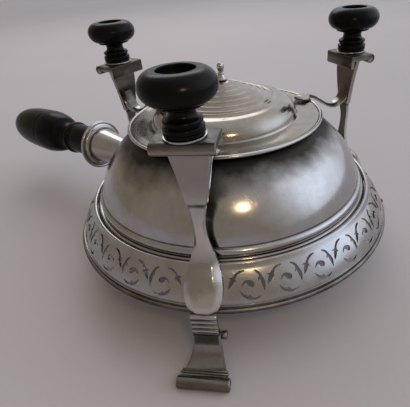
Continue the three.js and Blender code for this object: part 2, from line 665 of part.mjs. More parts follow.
function dishSupport() {
  const plateR = hingeR + TONGUE_RADIUS + RUNNING + SUPPORT_THICKNESS / 2;
  const reach = SUPPORT_ROLL_REACH - plateR;
  const top = collarBottom - SEAM;
  const rollZ = SUPPORT_ROLL_RADIUS * Math.cos(Math.PI / SMALL_SIDES);
  const spread = SUPPORT_FOOT_WIDTH - SUPPORT_TOP_WIDTH;
  const key = (share, z, width) => ({
    r: plateR + share * reach, z, width, thickness: SUPPORT_THICKNESS,
  });
  const plate = strap([
    key(0, top, SUPPORT_TOP_WIDTH),
    key(0, HINGE_Z + 1, SUPPORT_TOP_WIDTH),
    key(0.05, HINGE_Z - 2.6, SUPPORT_TOP_WIDTH + 0.1 * spread),
    key(0.2, rollZ + 3.4, SUPPORT_TOP_WIDTH + 0.32 * spread),
    key(0.5, rollZ + 1, SUPPORT_TOP_WIDTH + 0.66 * spread),
    key(1, rollZ + 0.3, SUPPORT_FOOT_WIDTH),
  ], SUPPORT_SECTIONS, 0.8);
  const half = SUPPORT_FOOT_WIDTH / 2;
  const roll = acrossRod(SUPPORT_ROLL_RADIUS, SUPPORT_ROLL_REACH, rollZ, -half, half);
  const inside = TONGUE_WIDTH / 2 + RUNNING;
  const lugOutline = [
    ...arcPoints(hingeR, HINGE_Z, TONGUE_RADIUS + 0.3, 90, 270, 8),
    point(plateR, HINGE_Z - TONGUE_RADIUS - 0.3),
    point(plateR, HINGE_Z + TONGUE_RADIUS + 0.3),
  ];
  const lugs = slab(lugOutline, 2 * (inside + LUG_THICKNESS)).subtract(slab([
    point(hingeR - 9, HINGE_Z - 9),
    point(plateR - SUPPORT_THICKNESS / 2, HINGE_Z - 9),
    point(plateR - SUPPORT_THICKNESS / 2, HINGE_Z + 9),
    point(hingeR - 9, HINGE_Z + 9),
  ], 2 * inside));
  return plate.add(roll).add(lugs)
    .subtract(acrossRod(PIN_RADIUS + RUNNING, hingeR, HINGE_Z, -half, half));
}

function hingePin() {
  const side = TONGUE_WIDTH / 2 + RUNNING + LUG_THICKNESS;
  const shank = acrossRod(PIN_RADIUS, hingeR, HINGE_Z, -side - 0.6, side + SEAM + 0.4);
  const head = new THREE.CylinderGeometry(PIN_HEAD_RADIUS, 0.75 * PIN_HEAD_RADIUS,
    PIN_HEAD_HEIGHT, SMALL_SIDES);
  head.translate(hingeR, side + SEAM + PIN_HEAD_HEIGHT / 2, HINGE_Z);
  return shank.add(solidOf(head));
}

// Handle, drawn with the radius from the bowl along X

const alongHandle = (profile) => solidOf(
  turnedGeometry(profile, HANDLE_SIDES).rotateY(Math.PI / 2).translate(0, 0, HANDLE_Z));

function socketRadius(x) {
  const share = (x - SOCKET_ROOT) / (SOCKET_END - SOCKET_ROOT);
  return SOCKET_ROOT_RADIUS + (SOCKET_MOUTH_RADIUS - SOCKET_ROOT_RADIUS) * share;
}

const tenonEnd = SOCKET_END - TENON_LENGTH;
const pinX = SOCKET_END - GRIP_PIN_FROM_MOUTH;
const pinTop = HANDLE_Z - 4;
const pinBottom = HANDLE_Z - socketRadius(pinX) - 0.4;

function gripPinHole() {
  const bottom = pinBottom - 2;
  const top = pinTop + SEAM;
  return rod(GRIP_PIN_RADIUS + SEAM, top - bottom).translate([pinX, 0, (top + bottom) / 2]);
}

function handleSocket() {
  const line = new THREE.CatmullRomCurve3(
    legKeys().map((key) => new THREE.Vector3(key.r, 0, key.z)), false, 'catmullrom', 0.5);
  const seat = [];
  const samples = 24;
  for (let i = 0; i <= samples; i += 1) {
    const along = line.getTangent(i / samples);
    const out = point(-along.z, along.x);
    const middle = line.getPoint(i / samples);
    seat.push(point(middle.x, middle.z).addScaledVector(out, LEG_THICKNESS / 2 + SEAM));
  }
  const inboard = LEG_UPPER_RADIUS - 20;
  const cutter = slab([
    ...seat,
    point(inboard, seat[samples].y),
    point(inboard, seat[0].y),
  ], 4 * SOCKET_MOUTH_RADIUS);
  const start = mouldingRadius;
  const bore = tenonEnd - 2;
  return alongHandle([
    point(0, start),
    point(socketRadius(start), start),
    point(SOCKET_MOUTH_RADIUS, SOCKET_END),
    point(SOCKET_MOUTH_RADIUS - SOCKET_WALL, SOCKET_END),
    point(socketRadius(bore) - SOCKET_WALL, bore),
    point(0, bore),
  ]).subtract(cutter).subtract(gripPinHole());
}

function socketRing() {
  const start = SOCKET_END - SOCKET_RING_LENGTH;
  const end = SOCKET_END + 0.8;
  return alongHandle([
    point(socketRadius(start) + SEAM, start),
    point(SOCKET_MOUTH_RADIUS + 1.4, start + 0.3),
    point(SOCKET_MOUTH_RADIUS + 1.8, start + 1.6),
    point(SOCKET_RING_RADIUS - 0.4, start + 2.1),
    point(SOCKET_RING_RADIUS, start + 2.9),
    point(SOCKET_RING_RADIUS, start + 3.7),
    point(SOCKET_RING_RADIUS - 0.7, end),
    point(SOCKET_MOUTH_RADIUS + SEAM, end),
    point(SOCKET_MOUTH_RADIUS + SEAM, SOCKET_END),
  ]);
}

function handleGrip() {
  const tenonRadius = (x) => socketRadius(x) - SOCKET_WALL - SEAM;
  const collarEnd = SOCKET_END + 3;
  const bead = SOCKET_END + 29;
  const waist = bead + 9;
  const bulb = waist + 20;
  const tail = HANDLE_END - 22;
  const points = [
    point(0, tenonEnd),
    point(tenonRadius(tenonEnd), tenonEnd),
    point(tenonRadius(SOCKET_END), SOCKET_END + SEAM),
    point(SOCKET_MOUTH_RADIUS - SEAM, SOCKET_END + SEAM),
    point(SOCKET_MOUTH_RADIUS - SEAM, collarEnd),
    point(GRIP_NECK_RADIUS, collarEnd + 1.6),
    point(GRIP_NECK_RADIUS, bead - 4),
    point(GRIP_BEAD_RADIUS, bead - 2),
    point(GRIP_BEAD_RADIUS, bead + 1),
    point(GRIP_WAIST_RADIUS + 0.6, bead + 4),
    point(GRIP_WAIST_RADIUS, waist),
    point(0.6 * GRIP_RADIUS + 0.4 * GRIP_WAIST_RADIUS, waist + 6),
    point(0.93 * GRIP_RADIUS, waist + 12),
    point(GRIP_RADIUS, bulb),
    point(GRIP_RADIUS - 0.4, bulb + 15),
    point(GRIP_TAIL_RADIUS, tail),
    point(0.9 * GRIP_TAIL_RADIUS, tail + 9),
    point(0.68 * GRIP_TAIL_RADIUS, tail + 17),
    point(0.36 * GRIP_TAIL_RADIUS, HANDLE_END - 1.2),
    point(0, HANDLE_END),
  ];
  return alongHandle(points).subtract(gripPinHole());
}

const gripPin = () => rod(GRIP_PIN_RADIUS, pinTop - pinBottom).translate(
  [pinX, 0, (pinTop + pinBottom) / 2]);

// Assembly

const dishWarmer = new THREE.Group();

function place(name, solid, finish, azimuth = 0) {
  const mesh = new THREE.Mesh(geometryOf(solid), new THREE.MeshStandardMaterial(finish));
  mesh.name = name;
  mesh.rotation.z = THREE.MathUtils.degToRad(azimuth);
  dishWarmer.add(mesh);
}

place('bowl', bowl(), SILVER);
place('mouth_moulding', moulding(), SILVER);
place('pierced_rim', piercedRim(), SILVER);
place('rim_wire', wire(rimWireCircle, RIM_EDGE_Z, RIM_WIRE_RADIUS), SILVER);
place('ash_pan', ashPan(), SILVER);
place('pan_brim_wire', wire(PAN_RADIUS - PAN_WIRE_RADIUS, PAN_BRIM_Z, PAN_WIRE_RADIUS), SILVER);
place('pan_nut', panNut(), SILVER);
place('pan_bolt', panBolt(), OLD_SILVER);
place('pan_sleeve', panSleeve(), OLD_SILVER);
place('bolt_washer', boltWasher(), OLD_SILVER);
place('charcoal_grate', charcoalGrate(), IRON);
for (const { name, azimuth } of LEGS) {
  place(`leg_${name}`, leg(), SILVER, azimuth);
  place(`foot_disc_${name}`, footDisc().translate([FOOT_CIRCLE_RADIUS, 0, 0]), SILVER, azimuth);
  place(`foot_${name}`, woodenFoot().translate([FOOT_CIRCLE_RADIUS, 0, 0]), EBONISED, azimuth);
  place(`foot_screw_${name}`, footScrew().translate([FOOT_CIRCLE_RADIUS, 0, 0]), IRON, azimuth);
  place(`dish_support_${name}`, dishSupport(), SILVER, azimuth);
  place(`hinge_pin_${name}`, hingePin(), OLD_SILVER, azimuth);
}
place('handle_socket', handleSocket(), SILVER, HANDLE_AZIMUTH);
place('socket_ring', socketRing(), SILVER, HANDLE_AZIMUTH);
place('handle_grip', handleGrip(), EBONISED, HANDLE_AZIMUTH);
place('grip_pin', gripPin(), OLD_SILVER, HANDLE_AZIMUTH);

// The middle of the bounding box goes over the origin
const middle = new THREE.Box3().setFromObject(dishWarmer, true).getCenter(new THREE.Vector3());
for (const mesh of dishWarmer.children) mesh.position.set(-middle.x, -middle.y, 0);

export default dishWarmer;
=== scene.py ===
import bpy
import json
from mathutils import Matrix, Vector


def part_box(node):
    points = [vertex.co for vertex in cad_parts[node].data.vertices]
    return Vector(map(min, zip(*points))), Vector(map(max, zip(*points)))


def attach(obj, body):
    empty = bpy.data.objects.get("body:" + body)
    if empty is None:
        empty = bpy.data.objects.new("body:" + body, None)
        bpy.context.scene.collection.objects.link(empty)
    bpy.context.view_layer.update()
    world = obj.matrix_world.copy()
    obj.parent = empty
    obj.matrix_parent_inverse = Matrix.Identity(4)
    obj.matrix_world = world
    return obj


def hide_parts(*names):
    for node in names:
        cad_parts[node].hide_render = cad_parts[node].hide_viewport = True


bl_info = {
    "name": "Dish warmer",
    "version": (1, 0, 0),
    "blender": (4, 5, 0),
    "location": "View3D > Sidebar > Dish warmer",
    "description": "Silver dish warmer with a pierced rim, standing on its three dish supports",
    "category": "Add Mesh",
}

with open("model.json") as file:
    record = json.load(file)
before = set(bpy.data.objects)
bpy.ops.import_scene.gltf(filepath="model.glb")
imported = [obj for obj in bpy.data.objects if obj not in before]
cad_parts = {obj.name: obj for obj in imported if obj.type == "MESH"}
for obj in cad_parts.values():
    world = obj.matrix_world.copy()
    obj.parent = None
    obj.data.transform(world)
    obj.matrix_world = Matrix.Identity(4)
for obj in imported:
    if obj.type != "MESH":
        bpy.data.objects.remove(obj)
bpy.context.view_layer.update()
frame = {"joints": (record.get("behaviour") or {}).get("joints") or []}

import json
import math

import bmesh
import bpy
from bpy.props import FloatProperty, FloatVectorProperty, IntProperty, PointerProperty
from mathutils import Matrix, Vector

MM = 0.001
FULL_TURN = 2 * math.pi
WELD = 2e-6  # points this close become one
BODY = "warmer"

# The bowl's axis, and the way from it to each leg by the hinges of the dish supports
BOWL_LOW, BOWL_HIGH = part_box("bowl")
AXIS = Vector(((BOWL_LOW.x + BOWL_HIGH.x) / 2, (BOWL_LOW.y + BOWL_HIGH.y) / 2, 0))
LEGS = {joint["name"].rsplit("_", 1)[-1]:
        math.atan2(joint["pos_m"][1] - AXIS.y, joint["pos_m"][0] - AXIS.x)
        for joint in frame["joints"]}


def place(azimuth=0.0, radius=0.0):
    """Local space with the radius along X and the table at Z = 0."""
    return (Matrix.Translation(AXIS) @ Matrix.Rotation(azimuth, 4, 'Z')
            @ Matrix.Translation((radius * MM, 0, 0)))


# Sizes and colours


class WarmerShape(bpy.types.PropertyGroup):
    ring_sides: IntProperty(
        name="Ring sides", description="Sides of the bowl, the rim and the pan",
        default=180, min=24, max=360)
    turned_sides: IntProperty(
        name="Turned sides", description="Sides of the feet and the handle",
        default=72, min=12, max=180)
    edge_ease: FloatProperty(
        name="Edge ease", description="Width of the worn edges of the silver",
        default=0.00022, min=0.00005, max=0.001, unit='LENGTH')
    scroll_pitch: FloatProperty(
        name="Scroll pitch", description="Spacing wanted for the scrolls pierced in the rim",
        default=0.016, min=0.008, max=0.04, unit='LENGTH')
    scroll_size: FloatProperty(
        name="Scroll size", description="Size of a scroll against its drawing",
        default=1.0, min=0.4, max=1.4, subtype='FACTOR')
    scroll_weight: FloatProperty(
        name="Scroll weight", description="Width of a scroll's strokes against their drawing",
        default=1.25, min=0.5, max=1.6, subtype='FACTOR')
    wood_groove: FloatProperty(
        name="Groove depth", description="Depth of the fine grooves turned in the wood",
        default=0.0003, min=0.0, max=0.001, unit='LENGTH')


class WarmerLook(bpy.types.PropertyGroup):
    silver: FloatVectorProperty(
        name="Silver", description="Colour of the polished silver", subtype='COLOR', size=3,
        min=0, max=1, default=(0.51, 0.485, 0.45))
    tarnish_colour: FloatVectorProperty(
        name="Tarnish", description="Colour of the tarnish in the silver", subtype='COLOR',
        size=3, min=0, max=1, default=(0.25, 0.20, 0.145))
    tarnish: FloatProperty(
        name="Amount of tarnish", description="How far the tarnish covers the silver",
        subtype='FACTOR', default=0.4, min=0, max=1)
    polish: FloatProperty(
        name="Roughness", description="Roughness of the cleanest silver", subtype='FACTOR',
        default=0.13, min=0, max=1)
    wood: FloatVectorProperty(
        name="Wood", description="Colour of the ebonised wood", subtype='COLOR', size=3,
        min=0, max=1, default=(0.0035, 0.003, 0.0028))
    iron: FloatVectorProperty(
        name="Iron", description="Colour of the grate and the screws", subtype='COLOR', size=3,
        min=0, max=1, default=(0.12, 0.11, 0.10))
    floor: FloatVectorProperty(
        name="Table", description="Colour of the table", subtype='COLOR', size=3,
        min=0, max=1, default=(0.55, 0.50, 0.492))
    lamp_level: FloatProperty(
        name="Lamp level", description="Level of all the lamps together", default=1.0,
        min=0, max=4)


def shape():
    return bpy.context.scene.warmer_shape


def look():
    return bpy.context.scene.warmer_look


# Lines and solids


def smooth(points, steps):
    """Tuples on a smooth line through the given tuples."""
    line = []
    last = len(points) - 1
    for i in range(last):
        four = (points[max(i - 1, 0)], points[i], points[i + 1], points[min(i + 2, last)])
        for j in range(steps):
            t = j / steps
            line.append(tuple(
                0.5 * (2 * b + (c - a) * t + (2 * a - 5 * b + 4 * c - d) * t * t
                       + (3 * b - a - 3 * c + d) * t ** 3)
                for a, b, c, d in zip(*four)))
    line.append(tuple(points[last]))
    return line


def arc(centre, radius, start, end, steps):
    """Points on a circle, or on an oval when the radius is a pair; angles in degrees."""
    across, up = radius if isinstance(radius, tuple) else (radius, radius)
    angles = [math.radians(start + (end - start) * i / steps) for i in range(steps + 1)]
    return [(centre[0] + across * math.cos(a), centre[1] + up * math.sin(a)) for a in angles]


def spun(profile, sides=None, about='Z'):
    """A turned solid from (radius, height) pairs in millimetres, about the axis named."""
    bm = bmesh.new()
    verts = [bm.verts.new((r * MM, 0, z * MM)) for r, z in profile]
    pairs = list(zip(verts, verts[1:]))
    if max(profile[0][0], profile[-1][0]) * MM > WELD:
        pairs.append((verts[-1], verts[0]))
    edges = [bm.edges.new(pair) for pair in pairs]
    bmesh.ops.spin(bm, geom=verts + edges, axis=(0, 0, 1), angle=FULL_TURN,
                   steps=sides or shape().ring_sides, use_merge=True)
    bmesh.ops.remove_doubles(bm, verts=bm.verts, dist=WELD)
    bmesh.ops.recalc_face_normals(bm, faces=bm.faces)
    if about != 'Z':
        angle, hinge = (math.pi / 2, 'Y') if about == 'X' else (-math.pi / 2, 'X')
        bmesh.ops.rotate(bm, verts=bm.verts, matrix=Matrix.Rotation(angle, 3, hinge))
    return bm


def moved(bm, x=0.0, y=0.0, z=0.0):
    bmesh.ops.translate(bm, verts=bm.verts, vec=Vector((x, y, z)) * MM)
    return bm


def tube(inner, outer, low, high, sides):
    """A plain tube, or a rod where the inner radius is 0."""
    return spun([(inner, low), (outer, low), (outer, high), (inner, high)], sides)


def round_holes(circle, count, radius, z, half, sides):
    """Rods that drill an even circle of holes, each as long as twice the half."""
    rods = []
    for i in range(count):
        angle = FULL_TURN * i / count
        rods.append(moved(tube(0, radius, -half, half, sides), circle * math.cos(angle),
                          circle * math.sin(angle), z))
    return rods


def eased(bm, width=None, angle=32.0):
    """Rounds every edge sharper than the angle."""
    edges = [e for e in bm.edges if e.is_manifold and e.calc_face_angle() > math.radians(angle)]
    bmesh.ops.bevel(bm, geom=edges, offset=width or shape().edge_ease, offset_type='OFFSET',
                    segments=2, profile=0.5, affect='EDGES', clamp_overlap=True, material=-1)
    return bm


def extruded(bm, outline, reach):
    """Adds a solid from a closed outline of points to the same outline moved."""
    side = bm.faces.new([bm.verts.new(point) for point in outline])
    made = bmesh.ops.extrude_face_region(bm, geom=[side])
    far = [g for g in made["geom"] if isinstance(g, bmesh.types.BMVert)]
    bmesh.ops.translate(bm, verts=far, vec=reach)


def panel(outline, width, centre=0.0):
    """A solid with one outline of (radius, height) pairs and an even width across it."""
    bm = bmesh.new()
    near = (centre - width / 2) * MM
    extruded(bm, [(x * MM, near, z * MM) for x, z in outline], (0, width * MM, 0))
    bmesh.ops.recalc_face_normals(bm, faces=bm.faces)
    return bm


def strap_section(flat):
    """The bevelled cross section of a strap, as (across, outward) pairs."""
    half = 0.5 * (1 + flat)
    return ((-1, -0.5), (1, -0.5), (1, -0.14), (half, 0.24), (flat + 0.03, 0.48),
            (flat - 0.03, 0.5), (0.03 - flat, 0.5), (-0.03 - flat, 0.48), (-half, 0.24),
            (-1, -0.14))


def strap(keys, thickness, steps=7):
    """A bevelled bar along a smooth line. Each key is the radius and height of its middle, its
    width, its share of the thickness and the share of flat on its front."""
    line = smooth(keys, steps)
    bm = bmesh.new()
    corner = bm.verts.layers.int.new("corner")
    ring = [bm.verts.new((i, 0, 0)) for i in range(len(strap_section(0)))]
    for i, vert in enumerate(ring):
        vert[corner] = i
    face = bm.faces.new(ring)
    for i, (r, z, width, share, flat) in enumerate(line):
        if i:
            made = bmesh.ops.extrude_face_region(bm, geom=[face])
            face = next(g for g in made["geom"] if isinstance(g, bmesh.types.BMFace))
        before = line[max(i - 1, 0)]
        after = line[min(i + 1, len(line) - 1)]
        along = Vector((after[0] - before[0], 0, after[1] - before[1])).normalized()
        out = Vector((-along.z, 0, along.x)) * share * thickness
        section = strap_section(flat)
        for vert in face.verts:
            side, depth = section[vert[corner]]
            vert.co = (Vector((r, side * width / 2, z)) + out * depth) * MM
    bmesh.ops.recalc_face_normals(bm, faces=bm.faces)
    return bm


def bar(profile, r, z, sides=40):
    """A turned bar that lies across the leg, from its radius at each place along it."""
    return moved(spun(profile, sides, about='Y'), x=r, z=z)


def joined(solids):
    """One bmesh that holds all the solids."""
    whole = bmesh.new()
    for bm in solids:
        part = bpy.data.meshes.new("part")
        bm.to_mesh(part)
        whole.from_mesh(part)
        bpy.data.meshes.remove(part)
        bm.free()
    return whole


def object_of(name, bm):
    """Puts a bmesh into the scene as an object."""
    mesh = bpy.data.meshes.new(name)
    bm.to_mesh(mesh)
    bm.free()
    obj = bpy.data.objects.new(name, mesh)
    bpy.context.scene.collection.objects.link(obj)
    return obj


def pierced(whole, cutters):
    """The solid with every cutter taken out of it."""
    objects = [object_of("whole", whole), object_of("cutters", joined(cutters))]
    cut = objects[0].modifiers.new("cut", 'BOOLEAN')
    cut.operation = 'DIFFERENCE'
    cut.solver = 'EXACT'
    cut.object = objects[1]
    bpy.context.view_layer.update()
    done = objects[0].evaluated_get(bpy.context.evaluated_depsgraph_get())
    result = bmesh.new()
    result.from_mesh(done.data)
    for obj in objects:
        bpy.data.meshes.remove(obj.data)
    fewest = 10
    if len(result.faces) < fewest:
        raise RuntimeError("almost nothing is left of the pierced piece")
    return result


def piece(name, solids, at, finish, nodes, sharp=40.0, body=BODY):
    """Joins the solids into one object in its place and ties it to the frame."""
    whole = joined(solids)
    bmesh.ops.transform(whole, matrix=at, verts=whole.verts)
    obj = object_of(name, whole)
    obj.data.shade_smooth()
    obj.data.set_sharp_from_angle(angle=math.radians(sharp))
    material, slot = finishes()[finish]
    obj.data.materials.append(material)
    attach(obj, body)
    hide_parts(*nodes)


# Finishes


class Value:
    """A node's output that adds Math nodes when it is used in a sum."""

    def __init__(self, recipe, socket):
        self.recipe = recipe
        self.socket = socket

    def math(self, operation, *others):
        return self.recipe.node('ShaderNodeMath', {"operation": operation}, self, *others)

    def __add__(self, other):
        return self.math('ADD', other)

    __radd__ = __add__

    def __sub__(self, other):
        return self.math('SUBTRACT', other)

    def __rsub__(self, other):
        return self.recipe.node('ShaderNodeMath', {"operation": 'SUBTRACT'}, other, self)

    def __mul__(self, other):
        return self.math('MULTIPLY', other)

    __rmul__ = __mul__


class Recipe:
    """The nodes of one finish, or of the light of the room."""

    def __init__(self, owner, output='ShaderNodeOutputMaterial', where="Object"):
        self.owner = owner
        owner.use_nodes = True
        self.tree = owner.node_tree
        self.tree.nodes.clear()
        self.output = self.tree.nodes.new(output)
        self.here = Value(self, self.tree.nodes.new('ShaderNodeTexCoord').outputs[where])

    def node(self, kind, settings=None, *inputs, out=0, **named):
        """Adds a node: its settings come first, then its inputs by order or by name."""
        made = self.tree.nodes.new(kind)
        for key, value in (settings or {}).items():
            setattr(made, key, value)
        for target, value in [*enumerate(inputs), *named.items()]:
            key = target if isinstance(target, int) else target.replace("_", " ")
            self.feed(made.inputs[key], value)
        return Value(self, made.outputs[out])

    def feed(self, socket, value):
        if isinstance(value, Value):
            self.tree.links.new(value.socket, socket)
        elif isinstance(value, (tuple, list)) and socket.type == 'RGBA' and len(value) == 3:
            socket.default_value = (*value, 1)
        else:
            socket.default_value = value

    def noise(self, scale, detail, roughness, stretch=None, distortion=0.0):
        where = self.here
        if stretch:
            where = self.node('ShaderNodeMapping', None, where, Scale=stretch)
        return self.node('ShaderNodeTexNoise', None, Vector=where, Scale=scale, Detail=detail,
                         Roughness=roughness, Distortion=distortion)

    def range(self, value, low, high, to_low=0.0, to_high=1.0):
        return self.node('ShaderNodeMapRange', {"clamp": True}, value, low, high, to_low, to_high)

    def mix(self, share, first, second):
        """Mixes two colours, through the colour sockets of a Mix node."""
        made = self.tree.nodes.new('ShaderNodeMix')
        made.data_type = 'RGBA'
        self.feed(made.inputs[0], share)
        self.feed(made.inputs[6], first)
        self.feed(made.inputs[7], second)
        return Value(self, made.outputs[2])

    def bump(self, height, distance, strength, under=None):
        named = {"Normal": under} if under else {}
        return self.node('ShaderNodeBump', None, Strength=strength, Distance=distance,
                         Height=height, **named)

    def shine(self, kind='ShaderNodeBsdfPrincipled', **named):
        shader = self.node(kind, None, **named)
        self.tree.links.new(shader.socket, self.output.inputs["Surface"])
        return self.owner

    def vector(self, operation, *inputs, out=0):
        return self.node('ShaderNodeVectorMath', {"operation": operation}, *inputs, out=out)

    def outward(self):
        """The level line from the bowl's axis to this place."""
        return self.vector('MULTIPLY', self.vector('SUBTRACT', self.here, tuple(AXIS)), (1, 1, 0))

    def from_axis(self):
        """The distance from the bowl's axis, in metres."""
        return self.vector('LENGTH', self.outward(), out=1)

    def turned_out(self):
        """1 where the surface looks away from the bowl's axis, and -1 where it looks at it."""
        normal = self.node('ShaderNodeNewGeometry', out=1)
        return self.vector('DOT_PRODUCT', normal, self.vector('NORMALIZE', self.outward()), out=1)

    def height(self):
        return self.node('ShaderNodeSeparateXYZ', None, self.here, out=2)

    def near(self, height, level, half, share=1.0):
        """The share at a level in millimetres, fading to 0 at the half width from it."""
        away = (height - level * MM).math('ABSOLUTE')
        return self.range(away, 0.3 * half * MM, half * MM, share, 0.0)


def shade(colour, amount):
    """A darker or lighter colour."""
    return tuple(amount * part for part in colour)


def silver_finish(name, tarnish=1.0, rough=0.0, rings=False, dull=0.0, painted_shade_band=None, inside=0.0,
                  bands=(), grime_and_shade=()):
    """Worn silver: cloudy tarnish, fine wipe marks, small scratches and a hand-raised surface.
    A band of painted shade darkens the surface between two heights. Inside is how dark the painted
    shade is on the sides that look towards the bowl's axis. A band paints a lighter or darker tone
    by its height, half width, strength and colour: painted highlight where lighter, painted shade
    where darker. Grime with painted shade in creases and under parts is given by its height and
    half width. Heights and widths are in millimetres."""
    r = Recipe(bpy.data.materials.new(name))
    colours = look()
    silver = tuple(colours.silver)
    stain = tuple(colours.tarnish_colour)
    cloud = r.noise(30.0, 5.0, 0.6)
    patch = r.noise(95.0, 4.0, 0.65, distortion=0.6)
    speck = r.noise(800.0, 3.0, 0.6)
    height = r.height()
    # Darker towards the bottom, below 16 mm above the table.
    low = r.range(height + (patch - 0.5) * 0.01, 0.003, 0.016, 0.85, 0.0)
    mask = r.range(cloud * 0.6 + patch * 0.4, 0.42, 0.66) * (tarnish * colours.tarnish)
    pits = r.range(speck, 0.62, 0.80) * (0.2 * tarnish)
    cool = tuple(part * tint for part, tint in zip(silver, (0.95, 0.99, 1.1)))
    base = r.mix(r.range(r.noise(17.0, 2.0, 0.5), 0.42, 0.6), silver, cool)
    base = r.mix(mask + dull, base, stain)
    base = r.mix(low, base, shade(stain, 0.42))
    base = r.mix(pits, base, shade(stain, 0.4))
    # Bands at set heights: lighter ones are painted highlight, darker ones painted shade.
    for level, half, share, tint in bands:
        base = r.mix(r.near(height + (patch - 0.5) * 0.012, level, half, share), base, tint)
    if inside:
        # Painted shade: the sides that look towards the bowl's axis are darkened.
        painted_inner_shade = r.range(r.turned_out() + (patch - 0.5) * 0.5, -0.8, -0.1, inside, 0.0)
        base = r.mix(painted_inner_shade, base, shade(stain, 0.3))
    # Grime with painted shade: creases, joints and places under parts are darkened to near black,
    # together with the darkening towards the bottom.
    dirt_and_shade = low * 0.2
    for level, half in grime_and_shade:
        dirt_and_shade = dirt_and_shade + r.near(height, level, half) * (0.35 + patch * 0.8)
    # Painted shade: a band on the bowl under the pan, darkened between two heights nearly to
    # black.
    if painted_shade_band:
        shade_start, black = (level * MM for level in painted_shade_band)
        dirt_and_shade = dirt_and_shade + r.range(height + (cloud - 0.5) * 0.014, shade_start, black) * 0.97
    dirt_and_shade = r.range(dirt_and_shade, 0.0, 1.0)
    base = r.mix(dirt_and_shade, base, (0.03, 0.024, 0.018))
    wipe = r.noise(210.0, 3.0, 0.5, stretch=(1.0, 1.0, 6.0))
    scratch = r.range(r.noise(430.0, 2.0, 0.5, stretch=(0.25, 2.2, 1.0), distortion=1.2),
                      0.62, 0.67)
    roughness = (colours.polish + rough) + mask * 0.1 + wipe * 0.05 + scratch * 0.06 + pits * 0.4
    roughness = roughness + dirt_and_shade * 0.3
    raised = r.bump(r.noise(22.0, 1.0, 0.4), 0.0009, 0.22)
    worked = r.bump(r.noise(120.0, 1.5, 0.4), 0.00008, 0.3, under=raised)
    if rings:
        pitch = 0.0009
        line = (r.from_axis() * (FULL_TURN / pitch)).math('SINE')
        worked = r.bump(line * 0.5 + wipe * 0.5, 0.000008, 0.5, under=worked)
    fine = r.bump(wipe * 0.5 - scratch * 0.6 - pits, 0.00002, 0.5, under=worked)
    return r.shine(Base_Color=base, Roughness=roughness, Metallic=1.0, Normal=fine)


def wood_finish(name):
    """Turned wood stained black, satin from handling, with worn brown high places."""
    r = Recipe(bpy.data.materials.new(name))
    colour = tuple(look().wood)
    grain = r.noise(60.0, 6.0, 0.6, stretch=(0.35, 3.0, 3.0), distortion=0.8)
    pores = r.range(r.noise(1300.0, 2.0, 0.5, stretch=(0.12, 1.0, 1.0)), 0.60, 0.75)
    worn = r.range(r.noise(45.0, 5.0, 0.6), 0.55, 0.8)
    base = r.mix(r.range(grain, 0.35, 0.75) * 0.6, colour, shade(colour, 2.2))
    base = r.mix(worn * 0.4, base, (0.022, 0.013, 0.008))
    base = r.mix(pores * 0.6, base, shade(colour, 0.4))
    roughness = 0.17 + worn * 0.14 + grain * 0.10 + pores * 0.15
    fine = r.bump(grain * 0.6 - pores * 0.8, 0.00005, 0.4)
    return r.shine(Base_Color=base, Roughness=roughness, Normal=fine, Specular_IOR_Level=0.10)


def iron_finish(name, rust=1.0):
    """Iron scaled by fire, with some rust."""
    r = Recipe(bpy.data.materials.new(name))
    iron = tuple(look().iron)
    cloud = r.noise(90.0, 6.0, 0.65)
    grit = r.noise(1100.0, 3.0, 0.6)
    rusty = r.range(cloud, 0.5, 0.68) * 0.7 * rust
    base = r.mix(rusty, iron, (0.17, 0.075, 0.035))
    base = r.mix(r.range(grit, 0.55, 0.75) * 0.4, base, (0.03, 0.027, 0.025))
    fine = r.bump(grit + cloud, 0.00015, 0.6)
    return r.shine(Base_Color=base, Roughness=0.5 + grit * 0.35, Metallic=1.0 - rusty,
                   Normal=fine)


def make_finishes():
    """Makes every finish."""
    edge = RIM_WIRE[1]
    reeds = [(z, 0.9) for z in (COLLAR_BOTTOM + 0.3, *collar_grooves(), COLLAR_TOP)]
    # Band tints for the legs: a painted highlight and a painted shade.
    highlight_tint = shade(look().silver, 1.45)
    shade_tint = tuple(look().tarnish_colour)
    # The bowl: painted shade under the pan, and grime with painted shade along the mouth moulding.
    silver_finish("raised_silver", tarnish=1.25, painted_shade_band=(69.5, 77.5),
                  grime_and_shade=((MOULDING_TOP + 0.1, 0.3), (MOULDING_TOP + 4.3, 0.6)))
    # The moulding: grime with painted shade between its reeds.
    silver_finish("spun_silver", rings=True, dull=0.4, grime_and_shade=((MOULDING_TOP - 1.4, 0.3),))
    # The legs: painted shade on their inner sides, bands of painted highlight and painted shade,
    # and grime with painted shade at the knee step, under the plate and in the collar's reeds.
    silver_finish("leg_silver", tarnish=0.8, rough=0.03, inside=0.9,
                  bands=((63, 13, 0.7, highlight_tint), (34.5, 6, 0.6, highlight_tint), (94, 18, 0.5, shade_tint),
                         (44.5, 7, 0.3, shade_tint)),
                  grime_and_shade=((KNEE - 0.8, 1.1), (PLATE_TOP, 3.5), *reeds))
    silver_finish("cast_silver", tarnish=0.9, rough=0.03)
    # The wire and the flare just above it: grime with painted shade.
    silver_finish("edge_silver", tarnish=1.3, rough=0.1, dull=0.5, grime_and_shade=((edge, 1.6),))
    silver_finish("pierced_silver", tarnish=1.2, rough=0.05, dull=0.08,
                  grime_and_shade=((edge + 1.9, 0.8),))
    silver_finish("old_silver", tarnish=1.4, rough=0.16, dull=0.3)
    wood_finish("black_wood")
    iron_finish("fire_iron")
    iron_finish("screw_iron", rust=0.4)


# The record's material slots, each with the finishes that show it
SLOTS = {"polished_silver": ("raised_silver", "spun_silver", "leg_silver", "cast_silver",
                             "pierced_silver", "edge_silver"),
         "aged_silver": ("old_silver",), "ebonised_wood": ("black_wood",),
         "fire_iron": ("fire_iron",), "screw_iron": ("screw_iron",)}


